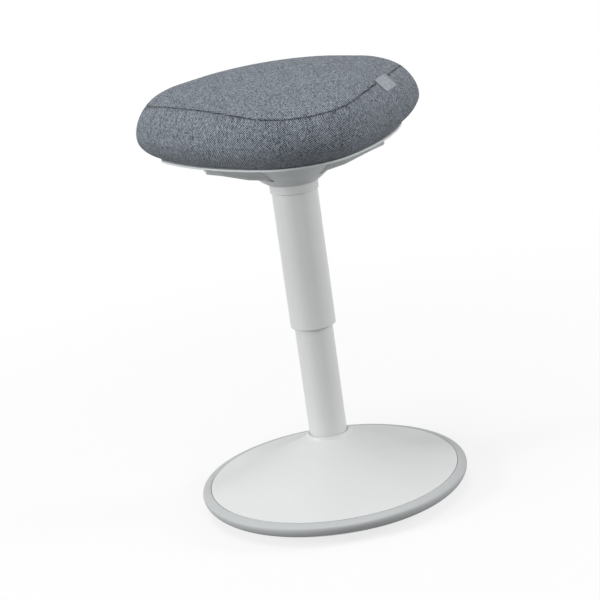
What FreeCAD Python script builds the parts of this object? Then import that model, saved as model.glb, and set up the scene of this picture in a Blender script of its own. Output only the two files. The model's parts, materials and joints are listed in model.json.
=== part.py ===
# Wobble stool: a height-adjustable perching stool on a domed, weighted base.
# Millimetres, +Z up. The origin is on the column's axis, on the floor, and the
# rounded nose of the seat points to -Y.
import FreeCAD, Part
import math
import os
import types

import Sketcher

doc = FreeCAD.newDocument("wobble_stool")
sheet = doc.addObject("Spreadsheet::Sheet", "Sizes")

# Driving dimensions: name, value in millimetres (or degrees, or a count), meaning
SIZES = [
    ("foot_radius", 57, "flat pad under the middle of the base"),
    ("foot_thickness", 4, "thickness of that pad"),
    ("foot_bevel", 1.2, "bevel of that pad's edge"),
    ("dome_radius", 1250, "curvature of the rocking underside"),
    ("ring_radius", 178, "widest radius of the soft rocker ring"),
    ("ring_width", 26, "plastic bottom pan inside that line"),
    ("pan_wall", 3, "wall of the pan"),
    ("pan_height", 24, "top edge of the pan above the floor"),
    ("weight_edge_gap", 5, "steel ballast plate inside the pan's wall"),
    ("weight_floor_gap", 0.1, "ballast above the pan's floor at its edge"),
    ("weight_thickness", 7.5, "thickness of the ballast"),
    ("weight_play", 0.8, "clearance of the ballast round the socket"),
    ("pan_screw_edge", 24, "pan screws inside the ballast's edge"),
    ("pan_screw_count", 6, "screws that hold the pan to the ballast"),
    ("pan_screw_radius", 2.4, "shank of a pan screw"),
    ("pan_screw_head_radius", 4.6, "head of a pan screw"),
    ("pan_screw_head_height", 2.4, "head of a pan screw"),
    ("pan_screw_sink", 0.6, "head of a pan screw above the dome's surface"),
    ("pan_screw_stop", 1, "steel above the tip of a pan screw"),
    ("pan_boss_radius", 7.5, "boss of the pan round each screw"),
    ("ring_belly_height", 23.5, "height of the widest line of the ring"),
    ("ring_toe_inset", 13, "where the ring leaves the dome, inside its widest line"),
    ("ring_toe_curve", 15, "radius of the curve from toe to belly"),
    ("ring_shoulder_inset", 0.8, "shoulder of the ring inside its widest radius"),
    ("ring_shoulder_height", 27.3, "height of the shoulder"),
    ("ring_lip_height", 30.2, "inner lip of the ring"),
    ("ring_top_curve", 22, "crown of the ring's top band"),
    ("ring_band", 12.2, "top band of the ring, from its widest line to the cover"),
    ("cover_edge_height", 30.4, "top of the cover at its edge"),
    ("cover_thickness", 2.5, "wall of the cover"),
    ("cover_gap", 0.8, "open joint between cover and ring"),
    ("cover_sweep", 340, "hollow curve of the cover's top face"),
    ("throat_radius", 34, "cover where it turns up to the column"),
    ("throat_height", 81.5, "height of that turn"),
    ("throat_curve", 11, "radius of that turn"),
    ("throat_wall", 4, "wall of the cover under that turn, upright"),
    ("cover_rim", 7.5, "flat underside of the cover's edge"),
    ("lip_height", 89, "top of the cover round the column"),
    ("lip_gap", 0.8, "open joint between cover and column"),
    ("lip_width", 2.2, "wall of the cover's lip"),
    ("tube_radius", 25, "outer tube of the gas lift"),
    ("tube_wall", 2.6, "wall of the outer tube"),
    ("tube_foot", 14, "lower end of the outer tube above the floor"),
    ("column_height", 430, "foot of the hub above the floor"),
    ("tube_drop", 18, "upper end of the outer tube below the hub's foot"),
    ("taper_height", 75, "height where the tube's taper starts"),
    ("taper_drop", 0.8, "radius lost over the taper"),
    ("socket_wall", 3.2, "wall of the base socket"),
    ("flange_radius", 48, "flange of the base socket"),
    ("flange_thickness", 4, "flange of the base socket"),
    ("socket_bolt_pitch", 39, "radius of the circle of socket bolts"),
    ("socket_bolt_count", 4, "bolts that hold the socket to the ballast"),
    ("socket_bolt_radius", 3, "shank of a socket bolt"),
    ("socket_bolt_head_radius", 5, "head of a socket bolt"),
    ("socket_bolt_head_height", 3.6, "head of a socket bolt"),
    ("end_disc_thickness", 4, "disc that closes the outer tube"),
    ("rod_radius", 5, "piston rod"),
    ("rod_overhang", 4, "rod below the end disc"),
    ("fit", 0.05, "running clearance on the radius"),
    ("clip_radius", 8.5, "retaining clip on the rod"),
    ("clip_thickness", 1.2, "retaining clip"),
    ("clip_groove_depth", 0.9, "groove for the clip"),
    ("race_radius", 19, "washers of the thrust bearing"),
    ("race_thickness", 2, "washers of the thrust bearing"),
    ("race_play", 0.8, "clearance of the lower washer round the rod"),
    ("ball_radius", 2.4, "balls of the thrust bearing"),
    ("ball_pitch", 13, "radius of the circle of balls"),
    ("ball_count", 10, "balls of the thrust bearing"),
    ("ball_play", 0.05, "clearance above and below a ball"),
    ("cage_thickness", 2.6, "ball cage"),
    ("cage_width", 9, "ball cage across its ring"),
    ("buffer_radius", 11.5, "rubber end buffer on the rod"),
    ("buffer_height", 18, "rubber end buffer on the rod"),
    ("buffer_bevel", 2.5, "bevel of that buffer"),
    ("lift_play", 0.3, "pressure tube above the buffer at the lowest setting"),
    ("bush_length", 90, "plastic guide bush in the outer tube"),
    ("bush_flange", 2, "flange of the bush on the tube's end"),
    ("pressure_radius", 14, "chromed pressure tube"),
    ("pressure_bore", 12.3, "inside radius of the pressure tube"),
    ("pressure_roll", 2, "rolled end of the pressure tube, inwards"),
    ("pressure_rise", 19, "upper end of the pressure tube above the hub's foot"),
    ("rod_guide_height", 16, "rod guide in the lower end of the pressure tube"),
    ("rod_guide_lip", 1.6, "rolled end of the pressure tube below the guide"),
    ("rod_seal_height", 4, "lip seal above the rod guide"),
    ("inner_radius", 11.6, "inner cylinder"),
    ("inner_wall", 1, "wall of the inner cylinder"),
    ("piston_height", 14, "piston"),
    ("piston_gap", 8, "gas space above the piston at the lowest setting"),
    ("piston_groove", 3, "groove of the piston seal"),
    ("piston_seal_section", 1.1, "section radius of the piston seal"),
    ("valve_height", 25, "valve block"),
    ("valve_recess", 4, "valve block below the pressure tube's end"),
    ("pin_radius", 2.5, "valve pin, and pivot pin of the lever"),
    ("pin_reach", 21, "valve pin inside the valve block"),
    ("button_radius", 4, "release button"),
    ("button_lift", 0.6, "underside of the button above the tube's end"),
    ("button_height", 5.4, "release button"),
    ("button_bevel", 0.8, "bevel of the release button"),
    ("sleeve_gap", 2.9, "clearance between the outer tube and its cover tube"),
    ("sleeve_wall", 1.9, "wall of the cover tube"),
    ("sleeve_length", 192, "cover tube below the hub"),
    ("sleeve_round", 1.2, "rounding of the cover tube's edge"),
    ("glide_height", 12, "glide ring in the cover tube"),
    ("glide_inset", 2.5, "glide ring above the tube's edge"),
    ("glide_play", 0.3, "clearance of the glide ring on the radius"),
    ("collar_step", 1.7, "collar band beyond the cover tube"),
    ("collar_length", 11, "collar band below the hub"),
    ("collar_bevel", 0.6, "bevel of its lower edge"),
    ("hub_height", 17, "hub cup, up to its joint with the shell"),
    ("hub_radius", 52, "hub cup at that joint"),
    ("hub_curve", 70, "hollow curve of the hub cup"),
    ("shell_wall", 2.5, "wall of the seat shell and the hub cup"),
    ("bowl_share", 0.46, "how far the funnel's mouth takes the seat's outline"),
    ("shell_height", 30, "seat shell above that joint, up to the cushion"),
    ("rim_inset", 27, "cushion's foot and shell's rim inside the widest outline"),
    ("nose_radius", 110, "front rounding of the seat outline"),
    ("nose_offset", 67, "its centre in front of the column"),
    ("corner_radius", 67.5, "rear corner rounding of the outline"),
    ("corner_reach", 118.3, "its centre beside the column"),
    ("corner_back", 44.7, "its centre behind the column"),
    ("flank_radius", 400, "long side arc of the outline"),
    ("back_radius", 670, "rear arc of the outline"),
    ("waist_rise", 31, "widest line of the cushion above its underside"),
    ("undercut_depth", 87, "half axis of the drawn-in lower side"),
    ("undercut_height", 41, "half height of the drawn-in lower side"),
    ("shoulder_depth", 41, "inset that the upper side gains"),
    ("shoulder_margin", 9, "below the crown, where that inset is reached"),
    ("cushion_height", 100, "cushion at its highest point"),
    ("crown_back", 68, "that point behind the column"),
    ("crown_across", 558, "radius of the crown from side to side"),
    ("crown_along", 745, "radius of the crown from front to back"),
    ("crown_half", 230, "half width of the block that shapes the crown"),
    ("crown_depth", 160, "depth of that block"),
    ("crown_spread", 24, "half angle of that block, degrees"),
    ("side_excess", 3, "sides of the cushion taken above the crown before the cut"),
    ("fabric", 1.5, "thickness of the knitted cover"),
    ("board_thickness", 8, "plywood seat board"),
    ("board_inset", 36, "seat board inside the widest outline"),
    ("tab_width", 36, "blank woven tab, along the seam"),
    ("tab_length", 19.3, "blank woven tab, down the side"),
    ("tab_thickness", 1.2, "folded thickness of the tab"),
    ("tab_reach", 115.6, "top edge of the tab beside the column"),
    ("tab_front", 64.8, "top edge of the tab in front of the column"),
    ("tab_drop", 24.1, "top edge of the tab below the crown"),
    ("tab_heading", -33.6, "direction that the tab faces in plan, degrees"),
    ("tab_lean", 42.6, "lean of the tab from upright, degrees"),
    ("tab_slope", 2.8, "rise of its top edge along the seam, degrees"),
    ("plate_thickness", 3, "steel of the seat bracket"),
    ("plate_width", 120, "top plate of the bracket"),
    ("plate_front", 50, "top plate in front of the column"),
    ("plate_back", 60, "top plate behind the column"),
    ("cheek_gap", 42, "space between the bracket's cheeks"),
    ("cheek_front", 38, "cheeks in front of the column"),
    ("cheek_back", 38, "cheeks behind the column"),
    ("ear_rise", 2.5, "lower edge of the cheeks' ears above the pressure tube"),
    ("floor_front", 19, "lower plate in front of the column"),
    ("cone_radius", 17.5, "socket of the bracket round the pressure tube"),
    ("cone_height", 25, "socket of the bracket"),
    ("plate_bolt_width", 96, "bolts of the top plate, side to side"),
    ("plate_bolt_front", 40, "front bolts in front of the column"),
    ("plate_bolt_back", 50, "rear bolts behind the column"),
    ("plate_bolt_radius", 3, "shank of a plate bolt"),
    ("plate_bolt_head_radius", 5.5, "head of a plate bolt"),
    ("plate_bolt_head_height", 3.2, "head of a plate bolt"),
    ("nut_radius", 4.4, "barrel of a tee nut"),
    ("nut_flange_radius", 8.5, "flange of a tee nut"),
    ("nut_flange", 1.2, "flange of a tee nut"),
    ("shell_screw_radius", 2, "shank of a shell screw"),
    ("shell_screw_head_radius", 4, "head of a shell screw"),
    ("shell_screw_head_height", 2, "head of a shell screw"),
    ("shell_screw_bite", 6, "length of a shell screw in the board"),
    ("shell_screw_inset", 14, "shell screws inside the shell's rim"),
    ("nose_screw_heading", -67, "front shell screws from the nose's centre, degrees"),
    ("side_screw_heading", 2, "side shell screws from the corner's centre, degrees"),
    ("back_screw_heading", 64, "rear shell screws from the corner's centre, degrees"),
    ("pivot_front", 28, "lever's pivot in front of the column"),
    ("pivot_rise", 7, "lever's pivot above the pressure tube"),
    ("pivot_hub_radius", 5, "lever's hub round the pin"),
    ("pivot_hub_width", 28, "lever's hub along the pin"),
    ("pin_length", 56, "pivot pin"),
    ("tongue_width", 16, "tongue over the release button"),
    ("tongue_thickness", 4, "tongue over the release button"),
    ("tongue_back", 6, "tongue behind the column's axis"),
    ("tongue_gap", 0.3, "tongue above the button"),
    ("bar_half", 30, "cross bar of the lever, half length"),
    ("bar_depth", 15, "cross bar front to back"),
    ("bar_drop", 6.5, "underside of the cross bar below the pressure tube's end"),
    ("bar_thickness", 7, "cross bar"),
    ("elbow_reach", 62, "first bend of an arm beside the column"),
    ("elbow_front", 36, "middle of the arm there, in front of the column"),
    ("elbow_rise", 1.5, "underside of the arm there above the pressure tube"),
    ("elbow_thickness", 6.5, "arm there"),
    ("elbow_depth", 20, "arm there, front to back"),
    ("wrist_reach", 94, "second bend of an arm beside the column"),
    ("wrist_front", 39, "middle of the arm there, in front of the column"),
    ("wrist_rise", 13, "underside of the arm there above the pressure tube"),
    ("wrist_thickness", 5.5, "arm there"),
    ("wrist_depth", 22, "arm there, front to back"),
    ("paddle_reach", 114, "end of a paddle beside the column"),
    ("paddle_front", 38, "middle of the paddle in front of the column"),
    ("paddle_drop", 9.5, "underside of the paddle below the cushion"),
    ("paddle_thickness", 4.8, "paddle"),
    ("paddle_depth", 24, "paddle front to back"),
    ("paddle_round", 2, "rounding of the paddle's edges"),
    ("slot_start", 10, "inner end of the arm's slot in the hub, beside the column"),
    ("slot_side_play", 1.5, "slot beside the arm"),
    ("slot_lower_play", 1.5, "slot below the arm"),
    ("slot_upper_play", 3, "slot above the arm, for its lift"),
    ("spring_wire", 1.6, "radial thickness of the torsion spring's coil"),
    ("spring_play", 0.2, "coil round the pin"),
    ("spring_end_play", 0.3, "clearance at each end of the coil"),
]

# Cutting shapes reach this far beyond what they cut
CUT_OVER = 1.0

# Cross-sections of the cushion's side below and above its widest line
SECTIONS_BELOW, SECTIONS_ABOVE = 7, 6

# The funnel's cross-sections on the way up: share of the seat's outline that each
# takes at its mouth, and share of the funnel's height
FUNNEL_STEPS = ((0.0, 0.0), (0.26, 0.30), (0.65, 0.70), (1.0, 1.0))


class Size:
    """A length that keeps its number together with the expression that gives it."""

    def __init__(self, value, text):
        self.value = float(value)
        self.text = text

    @staticmethod
    def of(other):
        if isinstance(other, Size):
            return other
        return Size(other, repr(float(other)))

    def __add__(self, other):
        other = Size.of(other)
        return Size(self.value + other.value, f"({self.text} + {other.text})")

    def __sub__(self, other):
        other = Size.of(other)
        return Size(self.value - other.value, f"({self.text} - {other.text})")

    def __mul__(self, other):
        other = Size.of(other)
        return Size(self.value * other.value, f"({self.text} * {other.text})")

    def __truediv__(self, other):
        other = Size.of(other)
        return Size(self.value / other.value, f"({self.text} / {other.text})")

    def __neg__(self):
        return Size(0, "0") - self

    def __rsub__(self, other):
        return Size.of(other) - self

    __radd__ = __add__
    __rmul__ = __mul__

    def __float__(self):
        return self.value

    def root(self):
        return Size(math.sqrt(self.value), f"sqrt({self.text})")


def read_sizes():
    """Fill the spreadsheet and hand every dimension back by its name."""
    named = {}
    for row, (alias, value, meaning) in enumerate(SIZES, start=1):
        sheet.set(f"A{row}", alias)
        sheet.set(f"B{row}", str(value))
        sheet.setAlias(f"B{row}", alias)
        sheet.set(f"C{row}", meaning)
        named[alias] = Size(value, f"Sizes.{alias}")
    doc.recompute()
    return types.SimpleNamespace(**named)


s = read_sizes()
nodes = []


def dome(radius):
    """Height of the rocking underside at a radius."""
    return s.dome_radius - (s.dome_radius * s.dome_radius - radius * radius).root()


# Sizes that follow from the others: base
s.pan_radius = s.ring_radius - s.ring_width
s.ring_toe_radius = s.ring_radius - s.ring_toe_inset
s.cover_radius = s.ring_radius - s.ring_band
s.weight_radius = s.pan_radius - s.pan_wall - s.weight_edge_gap
s.weight_height = dome(s.pan_radius - s.pan_wall) + s.pan_wall + s.weight_floor_gap
s.pan_screw_pitch = s.weight_radius - s.pan_screw_edge
weight_top = s.weight_height + s.weight_thickness
flange_top = weight_top + s.flange_thickness

# Column and hub
s.tube_bore = s.tube_radius - s.tube_wall
s.sleeve_radius = s.tube_radius + s.sleeve_gap + s.sleeve_wall
s.collar_radius = s.sleeve_radius + s.collar_step
s.hub_foot = s.column_height
s.hub_top = s.hub_foot + s.hub_height
s.tube_top = s.hub_foot - s.tube_drop
s.pressure_top = s.hub_foot + s.pressure_rise
s.sleeve_foot = s.hub_foot - s.sleeve_length
s.collar_foot = s.hub_foot - s.collar_length
disc_top = s.tube_foot + s.end_disc_thickness
ball_level = disc_top + s.race_thickness + s.ball_play + s.ball_radius
race_level = ball_level + s.ball_radius + s.ball_play
buffer_level = race_level + s.race_thickness
pressure_foot = buffer_level + s.buffer_height + s.lift_play
guide_level = pressure_foot + s.rod_guide_lip
seal_level = guide_level + s.rod_guide_height
inner_foot = seal_level + s.rod_seal_height
valve_top = s.pressure_top - s.valve_recess
valve_foot = valve_top - s.valve_height
piston_top = valve_foot - s.piston_gap
piston_foot = piston_top - s.piston_height

# Seat and lever
s.plate_bolt_out = s.plate_bolt_width / 2
s.cushion_foot = s.hub_top + s.shell_height
s.waist_height = s.cushion_foot + s.waist_rise
s.crown_height = s.cushion_foot + s.cushion_height
s.shoulder_height = s.cushion_height - s.waist_rise - s.shoulder_margin
s.tab_height = s.crown_height - s.tab_drop
shell_foot = s.cushion_foot - s.shell_wall
plate_foot = s.cushion_foot - s.plate_thickness
floor_foot = s.pressure_top - s.plate_thickness
ear_foot = s.pressure_top + s.ear_rise
button_foot = s.pressure_top + s.button_lift
tongue_foot = button_foot + s.button_height + s.tongue_gap
s.pivot_height = s.pressure_top + s.pivot_rise
s.bar_foot = s.pressure_top - s.bar_drop
s.elbow_foot = s.pressure_top + s.elbow_rise
s.wrist_foot = s.pressure_top + s.wrist_rise
s.paddle_foot = s.cushion_foot - s.paddle_drop


# Helpers that bind shapes to the sheet

def bind(obj, name, size):
    """Set a property to a size, and keep it tied to the sheet."""
    size = Size.of(size)
    obj.setExpression(name, size.text)


def place(obj, x=0.0, y=0.0, z=0.0):
    """Put an object at a point given in sizes."""
    for axis, size in zip("xyz", (x, y, z)):
        if isinstance(size, Size):
            bind(obj, f"Placement.Base.{axis}", size)
        elif size:
            setattr(obj.Placement.Base, axis, size)


def keep(obj, label):
    """Register a finished sub-part under its node name."""
    obj.Label = label
    nodes.append(obj)
    return obj


def origin_plane(body, role):
    """Return one of the body's own origin planes by its role."""
    return next(item for item in body.Origin.OriginFeatures if item.Role == role)


def pin_point(sketch, geometry, end, radius, height):
    """Tie one end of a sketch edge to a radius and a height."""
    radius, height = Size.of(radius), Size.of(height)
    for kind, axis, size in (("DistanceX", -2, radius), ("DistanceY", -1, height)):
        if abs(size.value) < 1e-9:
            sketch.addConstraint(Sketcher.Constraint("PointOnObject", geometry, end, axis))
            continue
        index = sketch.addConstraint(
            Sketcher.Constraint(kind, -1, 1, geometry, end, size.value))
        sketch.setExpression(f"Constraints[{index}]", size.text)


def arc_between(start, finish, radius):
    """Arc from start to finish, as a counter-clockwise piece of a circle.

    A positive radius bulges to the right of the way from start to finish, seen
    with the radius to the right and the height upwards.
    """
    if radius < 0:
        start, finish = finish, start
    along = finish - start
    half = along.Length / 2
    left = FreeCAD.Vector(-along.y, along.x, 0).normalize()
    centre = start + along * 0.5 + left * math.sqrt(radius * radius - half * half)
    first = math.atan2(start.y - centre.y, start.x - centre.x)
    last = math.atan2(finish.y - centre.y, finish.x - centre.x)
    circle = Part.Circle(centre, FreeCAD.Vector(0, 0, 1), abs(radius))
    return Part.ArcOfCircle(circle, first, last)


def turned(label, corners, height=0.0, arcs=None):
    """Revolve a closed profile of (radius, height) corners about the column's axis.

    arcs gives, for a corner's index, the radius of the arc to the next corner.
    """
    arcs = arcs or {}
    body = doc.addObject("PartDesign::Body", label)
    sketch = body.newObject("Sketcher::SketchObject", f"{label}_profile")
    sketch.AttachmentSupport = (origin_plane(body, "XZ_Plane"), [""])
    sketch.MapMode = "FlatFace"
    points = [FreeCAD.Vector(float(r), float(z), 0) for r, z in corners]
    ends = []
    for index, start in enumerate(points):
        finish = points[(index + 1) % len(points)]
        if index in arcs:
            radius = Size.of(arcs[index])
            arc = arc_between(start, finish, radius.value)
            edge = sketch.addGeometry(arc, False)
            ends.append((edge, 1, 2) if radius.value > 0 else (edge, 2, 1))
            number = sketch.addConstraint(
                Sketcher.Constraint("Radius", edge, abs(radius.value)))
            text = radius.text if radius.value > 0 else f"(0 - {radius.text})"
            sketch.setExpression(f"Constraints[{number}]", text)
        else:
            edge = sketch.addGeometry(Part.LineSegment(start, finish), False)
            ends.append((edge, 1, 2))
    for index, (edge, first, last) in enumerate(ends):
        following = ends[(index + 1) % len(ends)]
        sketch.addConstraint(
            Sketcher.Constraint("Coincident", edge, last, following[0], following[1]))
        pin_point(sketch, edge, first, *corners[index])
    turn = body.newObject("PartDesign::Revolution", f"{label}_turn")
    turn.Profile = sketch
    turn.ReferenceAxis = (sketch, ["V_Axis"])
    turn.Angle = 360
    place(body, z=height)
    return body


def disc_sketch(body, name, pitch, radius, level):
    """A circle beside the axis, on a level plane of the body."""
    sketch = body.newObject("Sketcher::SketchObject", name)
    sketch.AttachmentSupport = (origin_plane(body, "XY_Plane"), [""])
    sketch.MapMode = "FlatFace"
    bind(sketch, "AttachmentOffset.Base.z", level)
    centre = FreeCAD.Vector(float(pitch), 0, 0)
    circle = sketch.addGeometry(
        Part.Circle(centre, FreeCAD.Vector(0, 0, 1), float(radius)), False)
    sketch.addConstraint(Sketcher.Constraint("PointOnObject", circle, 3, -1))
    number = sketch.addConstraint(
        Sketcher.Constraint("DistanceX", -1, 1, circle, 3, float(pitch)))
    sketch.setExpression(f"Constraints[{number}]", Size.of(pitch).text)
    number = sketch.addConstraint(Sketcher.Constraint("Radius", circle, float(radius)))
    sketch.setExpression(f"Constraints[{number}]", Size.of(radius).text)
    return sketch


def feature(body, kind, name, sketch, length):
    """A pad above, or a pocket below, the sketch's plane."""
    made = body.newObject(kind, name)
    made.Profile = sketch
    bind(made, "Length", length)
    return made


def ring_of(body, name, originals, sketch, count):
    """Repeat features round the body's axis."""
    pattern = body.newObject("PartDesign::PolarPattern", name)
    pattern.Originals = originals
    pattern.Axis = (sketch, ["N_Axis"])
    pattern.Angle = 360
    bind(pattern, "Occurrences", count)
    body.Tip = pattern
    return pattern


def box(name, x, y, z):
    """A box between two limits on each axis."""
    made = doc.addObject("Part::Box", name)
    for prop, (low, high) in zip(("Length", "Width", "Height"), (x, y, z)):
        bind(made, prop, Size.of(high) - low)
    for axis, (low, high) in zip("xyz", (x, y, z)):
        bind(made, f"Placement.Base.{axis}", low)
    return made


def rod(name, radius, length, x=0.0, y=0.0, z=0.0, across=False):
    """A cylinder, upright or across the seat."""
    made = doc.addObject("Part::Cylinder", name)
    bind(made, "Radius", radius)
    bind(made, "Height", length)
    if across:
        made.Placement.Rotation = FreeCAD.Rotation(FreeCAD.Vector(0, 1, 0), 90)
    for axis, size in zip("xyz", (x, y, z)):
        bind(made, f"Placement.Base.{axis}", size)
    return made


def joined(name, pieces):
    """Weld several shapes into one."""
    made = doc.addObject("Part::MultiFuse", name)
    made.Shapes = pieces
    return made


def cut(name, base, tool):
    """Take one shape out of another."""
    made = doc.addObject("Part::Cut", name)
    made.Base = base
    made.Tool = tool
    return made


def shaped(label, shape):
    """A sub-part whose solid is worked out from the sheet's values."""
    made = doc.addObject("Part::Feature", label)
    made.Shape = shape
    return keep(made, label)


def round_places(pitch, count):
    """Evenly spaced places on a circle, the first on +X."""
    for index in range(int(float(count))):
        angle = 2 * math.pi * index / int(float(count))
        yield float(pitch) * math.cos(angle), float(pitch) * math.sin(angle)


def cylinder_at(x, y, low, high, radius):
    """An upright cylinder between two heights."""
    return Part.makeCylinder(
        float(radius), float(high) - float(low), FreeCAD.Vector(x, y, float(low)))


# Weighted base

def base_pan():
    """Domed plastic bottom with a recess for the foot pad and screw bosses."""
    inner = s.pan_radius - s.pan_wall
    floor = s.foot_thickness + s.pan_wall
    body = turned("base_pan", [
        (0, s.foot_thickness),
        (s.foot_radius, s.foot_thickness),
        (s.foot_radius, dome(s.foot_radius)),
        (s.pan_radius, dome(s.pan_radius)),
        (s.pan_radius, s.pan_height),
        (inner, s.pan_height),
        (inner, dome(inner) + s.pan_wall),
        (s.foot_radius + s.pan_wall, floor),
        (0, floor),
    ], arcs={2: s.dome_radius})
    seat = disc_sketch(body, "boss_circle", s.pan_screw_pitch, s.pan_boss_radius, floor)
    boss = feature(body, "PartDesign::Pad", "boss", seat, s.weight_height - floor)
    bore = disc_sketch(body, "screw_circle", s.pan_screw_pitch,
                       s.pan_screw_radius + s.fit, s.weight_height)
    hole = feature(body, "PartDesign::Pocket", "screw_hole", bore, s.weight_height)
    sink = disc_sketch(body, "head_circle", s.pan_screw_pitch,
                       s.pan_screw_head_radius + s.fit, pan_head_top())
    well = feature(body, "PartDesign::Pocket", "head_well", sink, pan_head_top())
    ring_of(body, "screw_places", [boss, hole, well], seat, s.pan_screw_count)
    return keep(body, "base_pan")


def pan_head_top():
    """Height of the face that the pan screws' heads bear on."""
    return dome(s.pan_screw_pitch) + s.pan_screw_sink + s.pan_screw_head_height


def pan_screws():
    """Screws from below, through the pan's bosses into the ballast."""
    solids = []
    head_top = float(pan_head_top())
    head_foot = head_top - float(s.pan_screw_head_height)
    tip = weight_top - s.pan_screw_stop
    for x, y in round_places(s.pan_screw_pitch, s.pan_screw_count):
        head = cylinder_at(x, y, head_foot, head_top, s.pan_screw_head_radius)
        shank = cylinder_at(x, y, head_top, tip, s.pan_screw_radius)
        solids.append(head.fuse(shank))
    return shaped("pan_screws", Part.makeCompound(solids))


def foot_pad():
    """Flat rubber pad that the stool stands on when it is left alone."""
    return keep(turned("foot_pad", [
        (0, 0),
        (s.foot_radius - s.foot_bevel, 0),
        (s.foot_radius, s.foot_bevel),
        (s.foot_radius, s.foot_thickness),
        (0, s.foot_thickness),
    ]), "foot_pad")


def rocker_ring():
    """Soft ring round the edge of the base, with a ledge for the cover."""
    lip = s.cover_radius + s.cover_gap
    ledge = s.cover_edge_height - s.cover_thickness
    return keep(turned("rocker_ring", [
        (s.pan_radius, dome(s.pan_radius)),
        (s.ring_toe_radius, dome(s.ring_toe_radius)),
        (s.ring_radius, s.ring_belly_height),
        (s.ring_radius - s.ring_shoulder_inset, s.ring_shoulder_height),
        (lip, s.ring_lip_height),
        (lip, ledge),
        (s.pan_radius - s.pan_wall, ledge),
        (s.pan_radius - s.pan_wall, s.pan_height),
        (s.pan_radius, s.pan_height),
    ], arcs={0: s.dome_radius, 1: s.ring_toe_curve, 3: s.ring_top_curve}), "rocker_ring")


def base_weight():
    """Steel ballast plate, bored for the column socket and drilled for its screws."""
    bore = s.tube_radius + s.socket_wall + s.weight_play
    body = turned("base_weight", [
        (bore, 0),
        (s.weight_radius, 0),
        (s.weight_radius, s.weight_thickness),
        (bore, s.weight_thickness),
    ], height=s.weight_height)
    pan_hole = disc_sketch(body, "pan_screw_circle", s.pan_screw_pitch,
                           s.pan_screw_radius, s.weight_thickness)
    pan_cut = feature(body, "PartDesign::Pocket", "pan_screw_hole", pan_hole,
                      s.weight_thickness)
    ring_of(body, "pan_screw_holes", [pan_cut], pan_hole, s.pan_screw_count)
    bolt_hole = disc_sketch(body, "bolt_circle", s.socket_bolt_pitch,
                            s.socket_bolt_radius, s.weight_thickness)
    bolt_cut = feature(body, "PartDesign::Pocket", "bolt_hole", bolt_hole,
                       s.weight_thickness)
    ring_of(body, "bolt_holes", [bolt_cut], bolt_hole, s.socket_bolt_count)
    return keep(body, "base_weight")


def column_socket():
    """Tapered steel socket with a flange bolted to the ballast."""
    outer = s.tube_radius + s.socket_wall
    body = turned("column_socket", [
        (s.tube_radius - s.taper_drop, 0),
        (outer, 0),
        (outer, weight_top - s.tube_foot),
        (s.flange_radius, weight_top - s.tube_foot),
        (s.flange_radius, flange_top - s.tube_foot),
        (outer, flange_top - s.tube_foot),
        (outer, s.taper_height - s.tube_foot),
        (s.tube_radius, s.taper_height - s.tube_foot),
    ], height=s.tube_foot)
    circle = disc_sketch(body, "bolt_circle", s.socket_bolt_pitch,
                         s.socket_bolt_radius + s.fit, flange_top - s.tube_foot)
    hole = feature(body, "PartDesign::Pocket", "bolt_hole", circle, s.flange_thickness)
    ring_of(body, "bolt_holes", [hole], circle, s.socket_bolt_count)
    return keep(body, "column_socket")


def socket_bolts():
    """Bolts through the socket's flange into the ballast."""
    solids = []
    for x, y in round_places(s.socket_bolt_pitch, s.socket_bolt_count):
        head = cylinder_at(x, y, flange_top, flange_top + s.socket_bolt_head_height,
                           s.socket_bolt_head_radius)
        shank = cylinder_at(x, y, s.weight_height, flange_top, s.socket_bolt_radius)
        solids.append(head.fuse(shank))
    return shaped("socket_bolts", Part.makeCompound(solids))


def base_cover():
    """Moulded cover that sweeps up in a hollow curve to a lip round the column."""
    bore = s.tube_radius + s.lip_gap
    edge_foot = s.cover_edge_height - s.cover_thickness
    return keep(turned("base_cover", [
        (s.cover_radius, edge_foot),
        (s.cover_radius, s.cover_edge_height),
        (s.throat_radius, s.throat_height),
        (bore + s.lip_width, s.lip_height),
        (bore, s.lip_height),
        (bore, s.lip_height - s.throat_curve),
        (s.throat_radius, s.throat_height - s.throat_wall),
        (s.cover_radius - s.cover_rim, edge_foot),
    ], arcs={1: -s.cover_sweep, 2: -s.throat_curve, 6: s.cover_sweep}), "base_cover")


# Gas lift, fixed side

def outer_tube():
    """Outer tube of the gas lift, tapered into the base socket."""
    return keep(turned("outer_tube", [
        (s.tube_bore, 0),
        (s.tube_radius - s.taper_drop, 0),
        (s.tube_radius, s.taper_height - s.tube_foot),
        (s.tube_radius, s.tube_top - s.tube_foot),
        (s.tube_bore, s.tube_top - s.tube_foot),
    ], height=s.tube_foot), "outer_tube")


def tube_end_disc():
    """Disc that closes the outer tube and carries the thrust bearing."""
    return keep(turned("tube_end_disc", [
        (s.rod_radius + s.fit, 0),
        (s.tube_bore, 0),
        (s.tube_bore, s.end_disc_thickness),
        (s.rod_radius + s.fit, s.end_disc_thickness),
    ], height=s.tube_foot), "tube_end_disc")


def guide_bush():
    """Plastic bush that guides the pressure tube, flanged on the tube's end."""
    bore = s.pressure_radius + s.fit
    return keep(turned("guide_bush", [
        (bore, 0),
        (s.tube_bore, 0),
        (s.tube_bore, s.bush_length),
        (s.tube_radius, s.bush_length),
        (s.tube_radius, s.bush_length + s.bush_flange),
        (bore, s.bush_length + s.bush_flange),
    ], height=s.tube_top - s.bush_length), "guide_bush")


def race(label, bore, level):
    """One flat washer of the thrust bearing."""
    return keep(turned(label, [
        (bore, 0),
        (s.race_radius, 0),
        (s.race_radius, s.race_thickness),
        (bore, s.race_thickness),
    ], height=level), label)


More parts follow.
